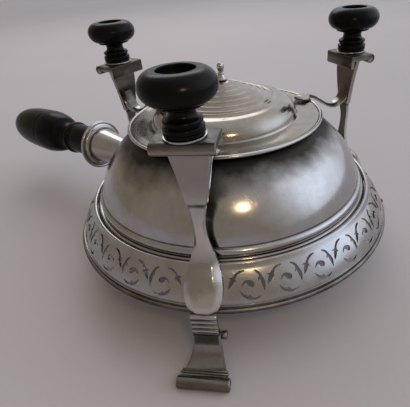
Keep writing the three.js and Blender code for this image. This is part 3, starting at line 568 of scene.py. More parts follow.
def finishes():
    """Each finish by its name, with its material slot."""
    if not bpy.data.materials.get("raised_silver"):
        make_finishes()
    return {name: (bpy.data.materials[name], slot)
            for slot, names in SLOTS.items() for name in names}


# Sizes shared by several pieces, in millimetres, with the places taken from the frame


def span_of(node):
    """The heights of a node's bottom and top."""
    low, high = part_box(node)
    return low.z / MM, high.z / MM


def reach_of(node):
    """How far a node on the handle's side reaches from the bowl's axis."""
    return (AXIS.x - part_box(node)[0].x) / MM


# The gap left where fixed pieces meet, and the gap between a support and the leg it turns on
SEAM, RUNNING = 0.3, 0.3
BOWL_R, BOWL_WALL, BOWL_SPRING, BOWL_RISE = 72.0, 1.2, 44.0, 48.5
BOWL_MOUTH, BOWL_BOTTOM = span_of("bowl")
DRAUGHT_CIRCLE, DRAUGHT_HOLE_R = 20.0, 3.5
MOULDING_TOP, MOULDING_R = span_of("mouth_moulding")[1], 75.4
RIM_START, RIM_WIRE, RIM_WIRE_R, RIM_WALL, RIM_SWELL = (76.25, 45.1), (86.8, 28.2), 1.2, 1.1, 1.2
PAN_R, PAN_BRIM, PAN_WIRE_R, PAN_WALL = 51.4, 83.0, 0.9, 0.9
PAN_SHOULDER, PAN_CONE, PAN_CONE_BASE, PAN_TOP = 38.0, 28.5, 92.3, span_of("ash_pan")[1]
NUT_FOOT, BOLT_R, BOLT_HOLE, BOLT_HEAD_R, BOLT_HEAD = 3.1, 1.5, 1.8, 4.0, 2.4
SLEEVE_R, WASHER_R, GRATE_R, GRATE_HOLE_R = 3.2, 7.0, 59.3, 3.0
GRATE_ROWS = ((15, 6), (31, 12), (47, 18))
FOOT_CIRCLE, (FOOT_BASE, FOOT_TOP) = 78.0, span_of("foot_front")
FOOT_R, FOOT_BASE_R, FOOT_RECESS_R, FOOT_RECESS = 13.3, 7.4, 7.1, 5.0
SCREW_R, SCREW_HEAD_R, DISC_R = 1.5, 3.6, 7.9
PLATE_TOP, PLATE_THICK, PLATE_WIDTH, PLATE_REACH = span_of("leg_front")[1], 2.8, 23.4, 7.6
PLATE_BOTTOM, PLATE_ROLL, PLATE_ROLL_R = PLATE_TOP - PLATE_THICK, FOOT_CIRCLE + 5.1, 2.45
LEG_R, LEG_THICK, BRANCH_THICK, KNEE = 76.2, 2.6, 1.9, 76.6
COLLAR_TOP, COLLAR_BOTTOM, COLLAR_WIDTH, COLLAR_THICK = 30.2, 17.6, 11.4, 2.8
LEG_BACK, HINGE_R, HINGE_Z = 88.3, 86.3, 13.2
TONGUE_WIDTH, TONGUE_R, LUG_THICK, LUG_R, PIN_R = 5.2, 2.2, 2.4, 2.5, 1.0
LUG_INSIDE = TONGUE_WIDTH / 2 + RUNNING
SUPPORT_WIDTH, SUPPORT_THICK, ROLL_R = 23.0, 2.2, 2.9
ROLL_REACH = reach_of("dish_support_handle") - ROLL_R
HANDLE_Z, SOCKET_END, HANDLE_END = 43.1, 118.3, reach_of("handle_grip")
SOCKET_ROOT, SOCKET_ROOT_R, SOCKET_MOUTH_R, SOCKET_WALL = 84.0, 7.2, 12.9, 1.0
GRIP_PIN, GRIP_PIN_R, TENON = SOCKET_END - 11, 0.9, 22.0


def rim_slope():
    """The flare's straight line from the moulding to the wire, and the way square to it."""
    run = Vector(RIM_WIRE) - Vector(RIM_START)
    run.length = run.length - RIM_WIRE_R - SEAM
    return run, Vector((-run.y, run.x)).normalized()


def rim_point(share, offset=0.0):
    """A place on the flare: share 0 beside the moulding and 1 above the wire."""
    run, normal = rim_slope()
    bulge = 4 * RIM_SWELL * share * (1 - share)
    return Vector(RIM_START) + run * share + normal * (bulge + offset)


# Bowl, moulding and rim


class WARMER_OT_bowl(bpy.types.Operator):
    """Raise the bowl with its shoulder band, draught holes and reeded mouth moulding"""
    bl_idname = "warmer.bowl"
    bl_label = "Bowl"

    def execute(self, context):
        def oval(z_from, z_to, wall, steps):
            rise = BOWL_RISE - wall
            angles = [math.degrees(math.asin((z - BOWL_SPRING) / rise)) for z in (z_from, z_to)]
            return arc((0, BOWL_SPRING), (BOWL_R - wall, rise), *angles, steps)

        band = ((1.1, 0), (1.2, 0.5), (1.25, 1.3), (1.2, 2.3), (0.6, 3.2), (-0.25, 3.6))
        shoulder = [(BOWL_R + out, BOWL_MOUTH + up) for out, up in band]
        outer = oval(BOWL_MOUTH + 3.7, BOWL_BOTTOM, 0, 30)
        inner = oval(BOWL_BOTTOM - BOWL_WALL, BOWL_MOUTH, BOWL_WALL, 24)
        shell = spun([*shoulder, *outer, (BOLT_HOLE, BOWL_BOTTOM),
                      (BOLT_HOLE, BOWL_BOTTOM - BOWL_WALL), *inner])
        holes = round_holes(DRAUGHT_CIRCLE, 8, DRAUGHT_HOLE_R, BOWL_BOTTOM, 3, sides=32)
        piece("raised_bowl", [pierced(shell, holes)], place(), "raised_silver", ["bowl"],
              sharp=32)

        reed = 1.5
        inside = BOWL_R - BOWL_WALL
        middle = MOULDING_TOP - reed
        moulding = spun([
            (inside, MOULDING_TOP), (MOULDING_R - 2.4, MOULDING_TOP),
            *arc((MOULDING_R - 1.65, MOULDING_TOP - 0.85), 0.85, 105, -30, 10),
            *arc((MOULDING_R - 0.75, middle - 0.72), 0.75, 65, -10, 6),
            (MOULDING_R - 0.05, middle - reed), (inside, middle - reed)])
        piece("mouth_reeds", [moulding], place(), "spun_silver", ["mouth_moulding"], sharp=32)
        return {'FINISHED'}


# Strokes of a pierced scroll, each as (along the rim, up the slope, half its width) in
# millimetres: the left arm, the comma, the right arm and the lower arm, and then their barbs
SCROLL_ARMS = (
    ((-0.7, 6.3, 0.2), (-2.9, 5.9, 0.45), (-4.6, 4.8, 0.42), (-5.8, 3.2, 0.62),
     (-7.0, 1.5, 0.72), (-8.3, -0.7, 0.05)),
    ((2.0, -0.9, 0.15), (1.7, 0.2, 1.05), (0.3, 1.5, 0.7), (-1.2, 1.4, 0.42), (-2.4, 0.1, 0.12)),
    ((3.4, 6.1, 0.25), (5.1, 4.9, 0.42), (6.1, 2.8, 0.5), (6.8, 0.3, 0.7), (7.0, -2.9, 0.05)),
    ((-3.4, -2.1, 0.1), (-2.1, -4.0, 0.5), (-0.2, -5.2, 0.55), (2.0, -5.9, 0.45),
     (3.8, -5.7, 0.35), (5.2, -4.9, 0.15)),
)
SCROLL_BARBS = (
    ((-5.6, 3.3, 0.5), (-6.9, 3.6, 0.3), (-8.0, 3.7, 0.05)),
    ((-5.9, 3.2, 0.5), (-5.2, 2.6, 0.3), (-4.7, 1.9, 0.05)),
    ((6.0, 3.2, 0.45), (5.2, 2.6, 0.32), (4.7, 1.5, 0.05)),
    ((0.9, -5.5, 0.45), (0.6, -4.7, 0.35), (0.3, -3.8, 0.05)),
)


def scroll_cutters(strokes, azimuth, mirrored):
    """The strokes of one scroll, as closed solids square through the rim."""
    bm = bmesh.new()
    middle = rim_point(0.5)
    normal = rim_slope()[1]
    out = Vector((normal.x, 0, normal.y))
    across = Vector((0, -1 if mirrored else 1, 0))
    up = Vector((-normal.y, 0, normal.x))
    depth = 4
    start = Vector((middle.x, 0, middle.y)) - out * depth
    size = shape().scroll_size
    weight = shape().scroll_weight
    for stroke in strokes:
        line = smooth(stroke, 4)
        left, right = [], []
        for i, (u, v, half) in enumerate(line):
            before = line[max(i - 1, 0)]
            after = line[min(i + 1, len(line) - 1)]
            side = Vector((before[1] - after[1], after[0] - before[0])).normalized()
            side *= half * weight
            left.append((u + side.x, v + side.y))
            right.append((u - side.x, v - side.y))
        outline = [(start + (across * u + up * v) * size) * MM for u, v in left + right[::-1]]
        extruded(bm, outline, out * 2 * depth * MM)
    bmesh.ops.recalc_face_normals(bm, faces=bm.faces)
    bmesh.ops.rotate(bm, verts=bm.verts, matrix=Matrix.Rotation(azimuth, 3, 'Z'))
    return bm


def scroll_places():
    """Even places for the scrolls in each stretch between two legs, with a mirrored half."""
    circle = rim_point(0.5).x
    clear_of_leg = 10
    clear = clear_of_leg / circle
    starts = sorted(LEGS.values())
    found = []
    for i, start in enumerate(starts):
        end = starts[i + 1] if i + 1 < len(starts) else starts[0] + FULL_TURN
        sweep = end - start - 2 * clear
        count = int(sweep * circle * MM / shape().scroll_pitch)
        for j in range(count):
            found.append((start + clear + sweep * (j + 0.5) / count, j >= count / 2))
    return found


class WARMER_OT_rim(bpy.types.Operator):
    """Make the flared rim, pierce its scrolls and put the wire round its edge"""
    bl_idname = "warmer.rim"
    bl_label = "Pierced rim"

    def execute(self, context):
        steps = 14
        half = RIM_WALL / 2
        outer = [*arc((RIM_START[0] + 0.12, RIM_START[1] + 0.3), 0.92, 200, 30, 12),
                 *(tuple(rim_point(i / steps, half)) for i in range(1, steps - 1))]
        edge = [tuple(rim_point(share, half + depth)) for share, depth in
                ((0.9, 0), (0.91, -0.35), (0.93, -0.35), (0.94, 0.1), (0.96, 0.22), (0.98, 0.12),
                 (1, -0.1))]
        inner = [tuple(rim_point(i / steps, -half)) for i in range(steps, 0, -1)]
        flare = spun([*outer, *edge, *inner], sides=shape().ring_sides * 4 // 3)
        for strokes in (SCROLL_ARMS, SCROLL_BARBS):
            flare = pierced(flare, [scroll_cutters(strokes, *where) for where in scroll_places()])
        piece("rim_flare", [flare], place(), "pierced_silver", ["pierced_rim"], sharp=35)
        around = RIM_WIRE_R - 0.05
        reach = (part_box("rim_wire")[1].x - AXIS.x) / MM
        wire = spun(arc((reach - around, RIM_WIRE[1]), around, 0, 345, 23))
        piece("edge_wire", [wire], place(), "edge_silver", ["rim_wire"], sharp=60)
        return {'FINISHED'}


# Ash pan and what clamps it


class WARMER_OT_pan(bpy.types.Operator):
    """Turn the ash pan with its rings, its wire, its nut and the bolt and sleeve under it"""
    bl_idname = "warmer.pan"
    bl_label = "Ash pan"

    def execute(self, context):
        sheet = PAN_R - 2 * PAN_WIRE_R - SEAM
        brim_top = PAN_BRIM + 0.8
        half = PAN_WALL / 2
        brim = smooth([(sheet, PAN_BRIM + half), (sheet - 3, PAN_BRIM + half - 0.25),
                       (44, PAN_BRIM + 0.2), (40.5, PAN_BRIM + 0.4), (38.6, brim_top - 0.1)], 4)
        shoulder = arc((PAN_CONE, brim_top), (PAN_SHOULDER - PAN_CONE, PAN_CONE_BASE - brim_top),
                       4, 84, 16)
        cone = [(PAN_CONE, PAN_CONE_BASE)]
        slope = (PAN_TOP - PAN_CONE_BASE) / (PAN_CONE - NUT_FOOT)
        bead = ((0, -0.08), (0.25, 0.14), (0.6, 0.24), (0.95, 0.14), (1.2, -0.08), (1.4, 0))
        for ring in (26.6, 25.0, 22.0, 18.5, 15.0, 11.5, 8.0):
            for along, rise in bead:
                at = ring - along
                cone.append((at, PAN_CONE_BASE + (PAN_CONE - at) * slope + rise))
        lining = arc((PAN_CONE, brim_top - PAN_WALL),
                     (PAN_SHOULDER - PAN_CONE - PAN_WALL, PAN_CONE_BASE - brim_top), 88, 0, 14)
        pan = spun([(sheet, PAN_BRIM - half), *brim, *shoulder, *cone, (NUT_FOOT, PAN_TOP),
                    (BOLT_HOLE, PAN_TOP), (BOLT_HOLE, PAN_TOP - PAN_WALL),
                    (NUT_FOOT, PAN_TOP - PAN_WALL), *lining])
        piece("ash_pan_sheet", [pan], place(), "spun_silver", ["ash_pan"], sharp=34)
        wire = spun(arc((PAN_R - PAN_WIRE_R, PAN_BRIM), PAN_WIRE_R, 0, 345, 15))
        piece("pan_edge_wire", [wire], place(), "cast_silver", ["pan_brim_wire"], sharp=60)
        nut = spun([(0, 1.6), (BOLT_HOLE, 1.6), (BOLT_HOLE, 0),
                    *arc((2.7, 0.42), 0.42, -80, 80, 6),
                    *smooth([(2.5, 1.0), (1.9, 1.9), (1.5, 2.7)], 4),
                    *arc((1.45, 3.15), 0.42, -70, 70, 5),
                    *smooth([(1.35, 3.7), (1.45, 4.6), (1.75, 5.6), (1.85, 6.6), (1.62, 7.6),
                             (1.0, 8.35), (0, 8.78)], 5)], sides=48)
        piece("finial_nut", [moved(nut, z=PAN_TOP + SEAM)], place(), "cast_silver", ["pan_nut"],
              sharp=50)
        foot, tip = span_of("pan_bolt")
        bolt = spun([(0, foot), (BOLT_HEAD_R, foot), (BOLT_HEAD_R, foot + BOLT_HEAD),
                     (BOLT_R, foot + BOLT_HEAD), (BOLT_R, tip), (0, tip)], sides=48)
        sleeve = tube(BOLT_HOLE, SLEEVE_R, *span_of("pan_sleeve"), sides=48)
        washer = tube(BOLT_HOLE, WASHER_R, *span_of("bolt_washer"), sides=64)
        for name, solid, node in (("clamp_bolt", bolt, "pan_bolt"),
                                  ("clamp_sleeve", sleeve, "pan_sleeve"),
                                  ("clamp_washer", washer, "bolt_washer")):
            piece(name, [eased(solid)], place(), "old_silver", [node])
        return {'FINISHED'}


class WARMER_OT_grate(bpy.types.Operator):
    """Cut the round grate with its three rows of holes"""
    bl_idname = "warmer.grate"
    bl_label = "Grate"

    def execute(self, context):
        low, high = span_of("charcoal_grate")
        disc = tube(BOLT_HOLE, GRATE_R, low, high, sides=120)
        holes = [hole for circle, count in GRATE_ROWS for hole in
                 round_holes(circle, count, GRATE_HOLE_R, (low + high) / 2, 2, sides=24)]
        piece("grate_disc", [pierced(disc, holes)], place(), "fire_iron", ["charcoal_grate"])
        return {'FINISHED'}


# Legs and feet


def upper_panel():
    """The broad panel from the plate down to the step at the knee."""
    return strap([(FOOT_CIRCLE - 0.2, PLATE_BOTTOM + 0.6, 17.2, 1, 0.88),
                  (LEG_R + 0.4, 97.0, 16.4, 1, 0.88), (LEG_R, 91.4, 14.4, 1, 0.87),
                  (LEG_R, 84.0, 11.4, 1, 0.86), (LEG_R, KNEE, 8.8, 1, 0.86)], PLATE_THICK)


def waisted_strap():
    """The strap from the knee over the rim to its pointed end in the collar."""
    return strap([
        (LEG_R + 0.1, KNEE + 2.4, 8.0, 0.88, 0.8), (LEG_R + 0.1, KNEE - 0.1, 7.6, 0.88, 0.75),
        (77.3, 70.0, 5.8, 0.88, 0.66), (77.3, 65.0, 5.2, 0.88, 0.6), (77.0, 59.5, 5.9, 0.92, 0.56),
        (77.0, 54.5, 8.0, 1, 0.54), (78.3, 47.3, 12.8, 1.1, 0.52), (83.15, 42.0, 16.2, 1.3, 0.54),
        (86.44, 36.7, 16.4, 1.3, 0.54), (88.6, 33.6, 14.6, 1.2, 0.52),
        (89.5, 31.5, 12.4, 1.1, 0.5), (89.6, COLLAR_TOP - 0.2, 9.0, 0.9, 0.4),
        (89.5, COLLAR_TOP - 1, 5.0, 0.6, 0.3)], LEG_THICK)


def branch():
    """The branch from its leaf on the pan's brim, down and round into the leg."""
    over = PAN_BRIM + PAN_WIRE_R + SEAM + BRANCH_THICK / 2
    return strap([
        (42.6, over - 0.1, 1.4, 0.6, 0.1), (43.8, over, 5.4, 0.8, 0.1),
        (46.0, over, 10.2, 1, 0.08), (48.6, over, 9.6, 1, 0.08), (50.8, over, 7.0, 1, 0.14),
        (54.4, over - 1.2, 6.2, 1, 0.35), (58.6, 81.0, 6.3, 1, 0.45), (63.2, 77.9, 6.5, 1, 0.45),
        (67.6, 77.0, 7.1, 1, 0.5), (71.6, 78.6, 8.0, 1, 0.5), (74.4, 82.2, 9.0, 1, 0.5),
        (LEG_R - 0.5, 88.0, 10.0, 1, 0.5), (LEG_R - 0.1, 93.0, 10.8, 1, 0.5)], BRANCH_THICK, 6)


def roll_profile(radius, half):
    """A roll with dished ends, each inside a raised rim."""
    end = [(0, 0.35), (0.62 * radius, 0.35), (0.7 * radius, 0), (0.88 * radius, 0),
           (radius, 0.35), (radius, 0.9)]
    return ([(r, inset - half) for r, inset in end]
            + [(r, half - inset) for r, inset in reversed(end)])


def foot_plate():
    """The plate below a foot, with a lip on its inner edge."""
    inner = FOOT_CIRCLE - PLATE_REACH
    lip = PLATE_BOTTOM - 3.8
    return eased(panel([
        (inner, lip + 0.5), (inner + 0.6, lip), (inner + 1.6, lip), (inner + 2.1, lip + 0.5),
        (inner + 2.1, PLATE_BOTTOM), (PLATE_ROLL, PLATE_BOTTOM), (PLATE_ROLL, PLATE_TOP),
        (inner + 0.6, PLATE_TOP), (inner, PLATE_TOP - 0.6)], PLATE_WIDTH), 0.0003)


def collar_grooves():
    """Heights of the three grooves between the four reeds of a collar."""
    return [COLLAR_BOTTOM + 0.8 + (COLLAR_TOP - COLLAR_BOTTOM - 1.6) * i / 4 for i in (1, 2, 3)]


def reeded_collar():
    """The collar that clasps the leg's pointed end, with four reeds across its front."""
    grooves = collar_grooves()
    pitch = grooves[1] - grooves[0]
    front = LEG_BACK + COLLAR_THICK
    land = front - 0.5
    outline = [(LEG_BACK, COLLAR_TOP), (LEG_BACK, COLLAR_BOTTOM), (land, COLLAR_BOTTOM)]
    for middle in (grooves[0] - pitch / 2, *(z + pitch / 2 for z in grooves)):
        outline += arc((front - 0.95, middle), (0.95, pitch / 2 - 0.1), -80, 80, 7)
    outline.append((land, COLLAR_TOP))
    return eased(panel(outline, COLLAR_WIDTH), 0.00016, 50)


def tongue():
    """The tongue below the collar, which the hinge pin goes through."""
    root = COLLAR_BOTTOM + 7.8
    return eased(panel([
        *arc((HINGE_R, HINGE_Z), TONGUE_R, 0, -180, 14), (HINGE_R - TONGUE_R, COLLAR_BOTTOM + 1),
        (HINGE_R, root - 1.4), (HINGE_R, root), (LEG_BACK + 1, root),
        (LEG_BACK + 1, COLLAR_BOTTOM), (HINGE_R + TONGUE_R, COLLAR_BOTTOM)], TONGUE_WIDTH))


def leg_solids():
    roll = bar(roll_profile(PLATE_ROLL_R, PLATE_WIDTH / 2), PLATE_ROLL, PLATE_TOP - PLATE_ROLL_R)
    return [upper_panel(), waisted_strap(), branch(), foot_plate(), roll, reeded_collar(),
            tongue()]


class WARMER_OT_legs(bpy.types.Operator):
    """Make the three legs: plate, bevelled strap, branch to the pan, collar and tongue"""
    bl_idname = "warmer.legs"
    bl_label = "Legs"

    def execute(self, context):
        for name, azimuth in LEGS.items():
            piece(f"leg_bar_{name}", leg_solids(), place(azimuth), "leg_silver",
                  [f"leg_{name}"], sharp=24)
        return {'FINISHED'}


class WARMER_OT_feet(bpy.types.Operator):
    """Turn the wooden feet and lay their discs and screws"""
    bl_idname = "warmer.feet"
    bl_label = "Wooden feet"

    def execute(self, context):
        sides = shape().turned_sides
        groove = shape().wood_groove / MM
        tall = FOOT_TOP - FOOT_BASE
        edge = FOOT_BASE_R
        bulb = arc((FOOT_R - 5.3, tall - 5.3), (5.3, 5.3), -68, 90, 26)
        floor = tall - FOOT_RECESS
        hollow = FOOT_RECESS_R - 0.6
        outline = [
            (BOLT_HOLE, 0), *arc((edge - 0.45, 0.45), 0.45, -90, 0, 4), (edge, 1.1),
            (edge - groove, 1.3), (edge, 1.5), *arc((edge - 0.45, 2.6), 0.45, 0, 80, 4),
            (6.7, 3.3), (6.35, 3.5), (6.35, 3.75), *arc((6.2, 4.75), (0.9, 0.95), -80, 80, 9),
            *smooth([(5.6, 5.95), (5.0, 6.7), (4.75, 7.8), (5.0, 8.9), (6.0, 9.7),
                     (7.6, 10.1)], 4),
            *arc((8.2, 10.5), (0.5, 0.38), -80, 70, 7), (8.4, 10.95), (8.5, 11.15), *bulb,
            *arc((hollow + 0.5, tall - 0.5), 0.5, 90, 180, 6), (hollow, tall - 1.0),
            (hollow - 0.3, floor + 0.4), (hollow - 0.6, floor), (BOLT_HOLE, floor)]
        foot_profile = [(r, z + FOOT_BASE) for r, z in outline]
        seat = FOOT_BASE + floor + SEAM
        point = PLATE_BOTTOM + 0.8
        screw = [(0, point), (SCREW_R, point), (SCREW_R, seat), (SCREW_HEAD_R, seat),
                 (SCREW_HEAD_R, seat + 0.7), *arc((0, seat + 0.2), (3.4, 1.6), 20, 90, 8)]
        for name, azimuth in LEGS.items():
            at = place(azimuth, FOOT_CIRCLE)
            piece(f"turned_foot_{name}", [spun(foot_profile, sides)], at, "black_wood",
                  [f"foot_{name}"], sharp=38)
            disc = tube(BOLT_HOLE, DISC_R, *span_of(f"foot_disc_{name}"), sides)
            piece(f"silver_disc_{name}", [eased(disc, 0.00012)], at, "cast_silver",
                  [f"foot_disc_{name}"])
            piece(f"wood_screw_{name}", [spun(screw, sides=40)], at, "screw_iron",
                  [f"foot_screw_{name}"])
        return {'FINISHED'}


# Dish supports


def support_solids():
    """A dish support: flared plate, rolled end, two ledges above it and the two hinge lugs."""
    plate = HINGE_R + TONGUE_R + RUNNING + SUPPORT_THICK / 2
    reach = ROLL_REACH - plate
    flare = ((0, COLLAR_BOTTOM - RUNNING, 12.4), (0, HINGE_Z + 1, 12.4), (0.05, 10.6, 12.9),
             (0.2, 6.6, 14.6), (0.5, 4.3, 17.6), (0.8, 3.6, 20.8), (0.93, 3.5, 22.6),
             (1, 3.4, SUPPORT_WIDTH))
    keys = [(plate + share * reach, z, width, 1, 0.86) for share, z, width in flare]
    solids = [strap(keys, SUPPORT_THICK, 8),
              bar(roll_profile(ROLL_R, SUPPORT_WIDTH / 2), ROLL_REACH, ROLL_R, sides=56)]
    for back, half in ((3.5, 10.6), (4.8, 10.1)):
        ledge = [(0, -half), (0.5, -half), (0.5, half), (0, half)]
        solids.append(eased(bar(ledge, ROLL_REACH - back, 4.9, sides=16)))
    lug = [*arc((HINGE_R, HINGE_Z), LUG_R, 90, 270, 14), (plate, HINGE_Z - LUG_R),
           (plate, HINGE_Z + LUG_R)]
    for side in (-1, 1):
        solids.append(eased(panel(lug, LUG_THICK, side * (LUG_INSIDE + LUG_THICK / 2))))
    return solids


class WARMER_OT_supports(bpy.types.Operator):
    """Make the three hinged dish supports and the pins that they turn on"""
    bl_idname = "warmer.supports"
    bl_label = "Dish supports"

    def execute(self, context):
        lug = LUG_INSIDE + LUG_THICK
        pin = [(0, -lug - 0.6), (PIN_R - 0.3, -lug - 0.6), (PIN_R, -lug - 0.2),
               (PIN_R, lug + 0.3), (1.65, lug + 0.3), (1.85, lug + 0.6), (2.1, lug + 2.7),
               (2.0, lug + 3.1), (1.5, lug + 3.3), (0, lug + 3.3)]
        for name, azimuth in LEGS.items():
            piece(f"support_arm_{name}", support_solids(), place(azimuth), "cast_silver",
                  [f"dish_support_{name}"], sharp=26, body=f"support_{name}")
            piece(f"pin_button_{name}", [bar(pin, HINGE_R, HINGE_Z, sides=32)], place(azimuth),
                  "old_silver", [f"hinge_pin_{name}"], body=f"support_{name}")
        return {'FINISHED'}


# Handle


def socket_radius(x):
    """The socket's outer radius, by the distance from the bowl's axis."""
    return (SOCKET_ROOT_R + (SOCKET_MOUTH_R - SOCKET_ROOT_R) * (x - SOCKET_ROOT)
            / (SOCKET_END - SOCKET_ROOT))


class WARMER_OT_handle(bpy.types.Operator):
    """Make the tapered socket, its moulded ring and the turned wooden grip"""
    bl_idname = "warmer.handle"
    bl_label = "Handle"

    def execute(self, context):
        at = place(LEGS["handle"]) @ Matrix.Translation((0, 0, HANDLE_Z * MM))
        sides = shape().turned_sides * 2
        start = (AXIS.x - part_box("handle_socket")[1].x) / MM + 0.2
        bore = SOCKET_END - TENON - 2
        cone = spun([(0, start), (socket_radius(start) + 0.5, start),
                     (socket_radius(start) + 0.4, start + 0.8),
                     *[(socket_radius(x), x) for x in (86, 94, 102, 110)],
                     (SOCKET_MOUTH_R, SOCKET_END), (SOCKET_MOUTH_R - SOCKET_WALL, SOCKET_END),
                     (socket_radius(bore) - SOCKET_WALL, bore), (0, bore)], sides, 'X')
        drill = moved(tube(0, GRIP_PIN_R + SEAM, -9, 9, sides=24), x=GRIP_PIN, z=-9)
        piece("socket_cone", [pierced(cone, [drill])], at, "cast_silver", ["handle_socket"],
              sharp=34)
        back = SOCKET_END - 4.2
        front = SOCKET_END + 0.8
        ring = spun([(socket_radius(back) + 0.3, back), (13.5, back),
                     *arc((13.5, back + 0.5), 0.5, -60, 60, 6),
                     *smooth([(13.6, back + 1.1), (13.9, back + 1.6), (14.5, back + 2.1),
                              (15.4, back + 2.4)], 4),
                     *arc((16.2, back + 3.2), 1.15, -110, 90, 16), (15.3, back + 4.4),
                     (14.7, front - 0.1), (13.4, front), (13.2, front - 0.2),
                     (13.2, SOCKET_END)], sides, 'X')
        piece("socket_moulded_ring", [ring], at, "cast_silver", ["socket_ring"], sharp=36)
        tenon = SOCKET_END - TENON
        fit = SOCKET_WALL + 0.35
        mouth = SOCKET_END + SEAM
        bead = SOCKET_END + 28.5
        groove = shape().wood_groove / MM
        grip = [(0, tenon), (socket_radius(tenon) - fit, tenon),
                (socket_radius(SOCKET_END) - fit, mouth), (12.4, mouth),
                *arc((12.1, mouth + 1.2), (0.5, 1.1), -80, 80, 6),
                (11.5, mouth + 2.5), *arc((11.2, mouth + 3.4), (0.75, 0.8), -80, 80, 7),
                *smooth([(10.9, mouth + 4.4), (10.7, mouth + 6), (10.8, mouth + 12),
                         (10.9, bead - 5)], 5),
                (10.9 - groove, bead - 4.4), (10.9, bead - 3.8),
                *arc((10.6, bead), (1.4, 2.1), -78, 78, 12), (10.2, bead + 2.4),
                (10.0, bead + 2.7), *arc((9.8, bead + 3.7), (0.7, 0.9), -70, 70, 8),
                *smooth([(9.2, bead + 5), (8.75, bead + 7), (8.7, bead + 9.5), (10.0, bead + 12.3),
                         (13.1, bead + 15.5), (15.1, bead + 21.5), (16.1, bead + 28),
                         (16.15, bead + 33)], 7),
                (16.1 - groove, bead + 33.6), (16.08, bead + 34.2),
                *smooth([(16.05, bead + 35), (15.8, HANDLE_END - 30.8), (15.1, HANDLE_END - 22),
                         (13.6, HANDLE_END - 13), (10.6, HANDLE_END - 5), (5.6, HANDLE_END - 1.1),
                         (0, HANDLE_END - 0.1)], 7)]
        piece("turned_grip", [spun(grip, sides, 'X')], at, "black_wood", ["handle_grip"],
              sharp=38)
        pin = spun([(0, -11.4), (GRIP_PIN_R - 0.2, -11.4), (GRIP_PIN_R, -11.2), (GRIP_PIN_R, -4),
                    (0, -4)], sides=24)
        piece("grip_rivet", [moved(pin, x=GRIP_PIN)], at, "old_silver", ["grip_pin"])
        return {'FINISHED'}


# Table, lamps and camera


def table_finish():
    """Plain pale board with a faint mottle."""
    r = Recipe(bpy.data.materials.new("pale_table"))
    colour = tuple(look().floor)
    cloud = r.noise(7.0, 4.0, 0.5)
    fibre = r.noise(420.0, 3.0, 0.6)
    base = r.mix(r.range(cloud, 0.35, 0.7) * 0.5, colour, shade(colour, 0.92))
    base = r.mix(r.range(fibre, 0.4, 0.7) * 0.25, base, shade(colour, 1.06))
    return r.shine(Base_Color=base, Roughness=0.62, Normal=r.bump(fibre, 0.00008, 0.3))


def room_light(toward, window):
    """The light of the room: pale and cool on the window's side, dim and warm in front, with
    the soft glow of the window itself."""
    r = Recipe(bpy.data.worlds.new("room"), 'ShaderNodeOutputWorld', "Generated")
    facing = r.vector('DOT_PRODUCT', r.here, toward, out=1)
    colour = r.mix(r.range(facing, -0.1, 1.2), (0.305, 0.268, 0.225), (1.0, 1.04, 1.16))
    glow = r.range(r.vector('DOT_PRODUCT', r.here, window, out=1), 0.70, 1.02)
    colour = r.mix(glow * glow, colour, (1.5, 1.75, 2.2))
    return r.shine('ShaderNodeBackground', Color=colour, Strength=look().lamp_level)


# The photograph's view: angles in degrees, the eye's place from the bowl's axis in metres, and
# the shift in widths of the picture. The light of the room turns with the view.
VIEW_TURN, VIEW_YAW, VIEW_PITCH, VIEW_ROLL = 38, 0.48, 32.45, -4.72
EYE, LENS, SHIFT = (0, -0.20546, 0.15775), 34.976, -30 / 410
BRIGHT_SIDE, WINDOW = (0.80, 0.42, 0.42), (0.90, -0.06, 0.42)
# Each lamp with its place, size, power and colour
LAMPS = (("back_window", (-0.15, 1.0, 0.85), (0.9, 0.6), 2.7, (0.97, 0.98, 1.0)),
         ("small_lamp", (0.03, -0.21, 0.19), (0.024, 0.024), 0.045, (1.0, 0.75, 0.42)))


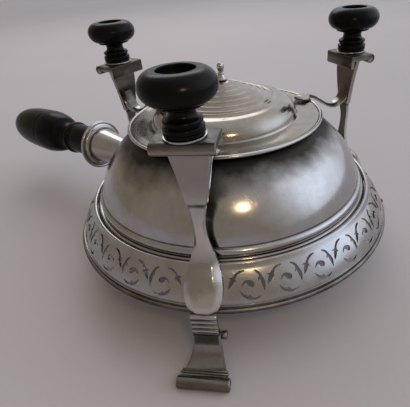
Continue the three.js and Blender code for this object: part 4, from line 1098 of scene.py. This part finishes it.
class WARMER_OT_stage(bpy.types.Operator):
    """Lay the pale table, hang the soft lamps and set the camera at the photograph's view"""
    bl_idname = "warmer.stage"
    bl_label = "Table, lamps and camera"

    def execute(self, context):
        scene = context.scene
        bm = bmesh.new()
        bmesh.ops.create_grid(bm, x_segments=8, y_segments=8, size=6.0)
        table = object_of("table", bm)
        table.data.materials.append(table_finish())

        turn = Matrix.Rotation(math.radians(VIEW_TURN), 4, 'Z')
        middle = AXIS + Vector((0, 0, 0.05))
        for name, spot, (wide, deep), power, colour in LAMPS:
            data = bpy.data.lights.new(name, 'AREA')
            data.shape = 'ELLIPSE'
            data.size = wide
            data.size_y = deep
            data.energy = power * look().lamp_level
            data.color = colour
            lamp = bpy.data.objects.new(name, data)
            position = Matrix.Translation(AXIS) @ turn @ Vector(spot)
            faced = (middle - position).to_track_quat('-Z', 'Y').to_matrix().to_4x4()
            lamp.matrix_world = Matrix.Translation(position) @ faced
            scene.collection.objects.link(lamp)
        scene.world = room_light(*(tuple(turn.to_3x3() @ Vector(way))
                                   for way in (BRIGHT_SIDE, WINDOW)))

        facing = (Matrix.Rotation(math.radians(-VIEW_YAW), 4, 'Z')
                  @ Matrix.Rotation(math.radians(90 - VIEW_PITCH), 4, 'X')
                  @ Matrix.Rotation(math.radians(VIEW_ROLL), 4, 'Z'))
        data = bpy.data.cameras.new("photograph")
        data.lens = LENS
        data.shift_x = SHIFT
        data.clip_start = 0.01
        camera = bpy.data.objects.new("photograph", data)
        camera.matrix_world = (Matrix.Translation(AXIS) @ turn @ Matrix.Translation(EYE)
                               @ facing)
        scene.collection.objects.link(camera)
        scene.camera = camera
        scene.view_settings.view_transform = 'Standard'
        return {'FINISHED'}


# Panel and registration


class WARMER_PT_panel(bpy.types.Panel):
    """Lists the pieces of the dish warmer"""
    bl_idname = "WARMER_PT_panel"
    bl_label = "Dish warmer"
    bl_space_type = 'VIEW_3D'
    bl_region_type = 'UI'
    bl_category = "Dish warmer"

    def draw(self, context):
        layout = self.layout
        for group in (context.scene.warmer_shape, context.scene.warmer_look):
            box = layout.box()
            for name in group.__annotations__:
                box.prop(group, name)
        for operator in OPERATORS:
            layout.operator(operator.bl_idname)


OPERATORS = (WARMER_OT_stage, WARMER_OT_bowl, WARMER_OT_rim, WARMER_OT_pan, WARMER_OT_grate,
             WARMER_OT_legs, WARMER_OT_feet, WARMER_OT_supports, WARMER_OT_handle)
CLASSES = (WarmerShape, WarmerLook, *OPERATORS, WARMER_PT_panel)


def register():
    for cls in CLASSES:
        bpy.utils.register_class(cls)
    bpy.types.Scene.warmer_shape = PointerProperty(type=WarmerShape)
    bpy.types.Scene.warmer_look = PointerProperty(type=WarmerLook)


def unregister():
    del bpy.types.Scene.warmer_look
    del bpy.types.Scene.warmer_shape
    for cls in reversed(CLASSES):
        bpy.utils.unregister_class(cls)


def main():
    register()
    bpy.ops.warmer.stage()
    bpy.ops.warmer.bowl()
    bpy.ops.warmer.rim()
    bpy.ops.warmer.pan()
    bpy.ops.warmer.grate()
    bpy.ops.warmer.legs()
    bpy.ops.warmer.feet()
    bpy.ops.warmer.supports()
    bpy.ops.warmer.handle()


if __name__ == "__main__":
    main()
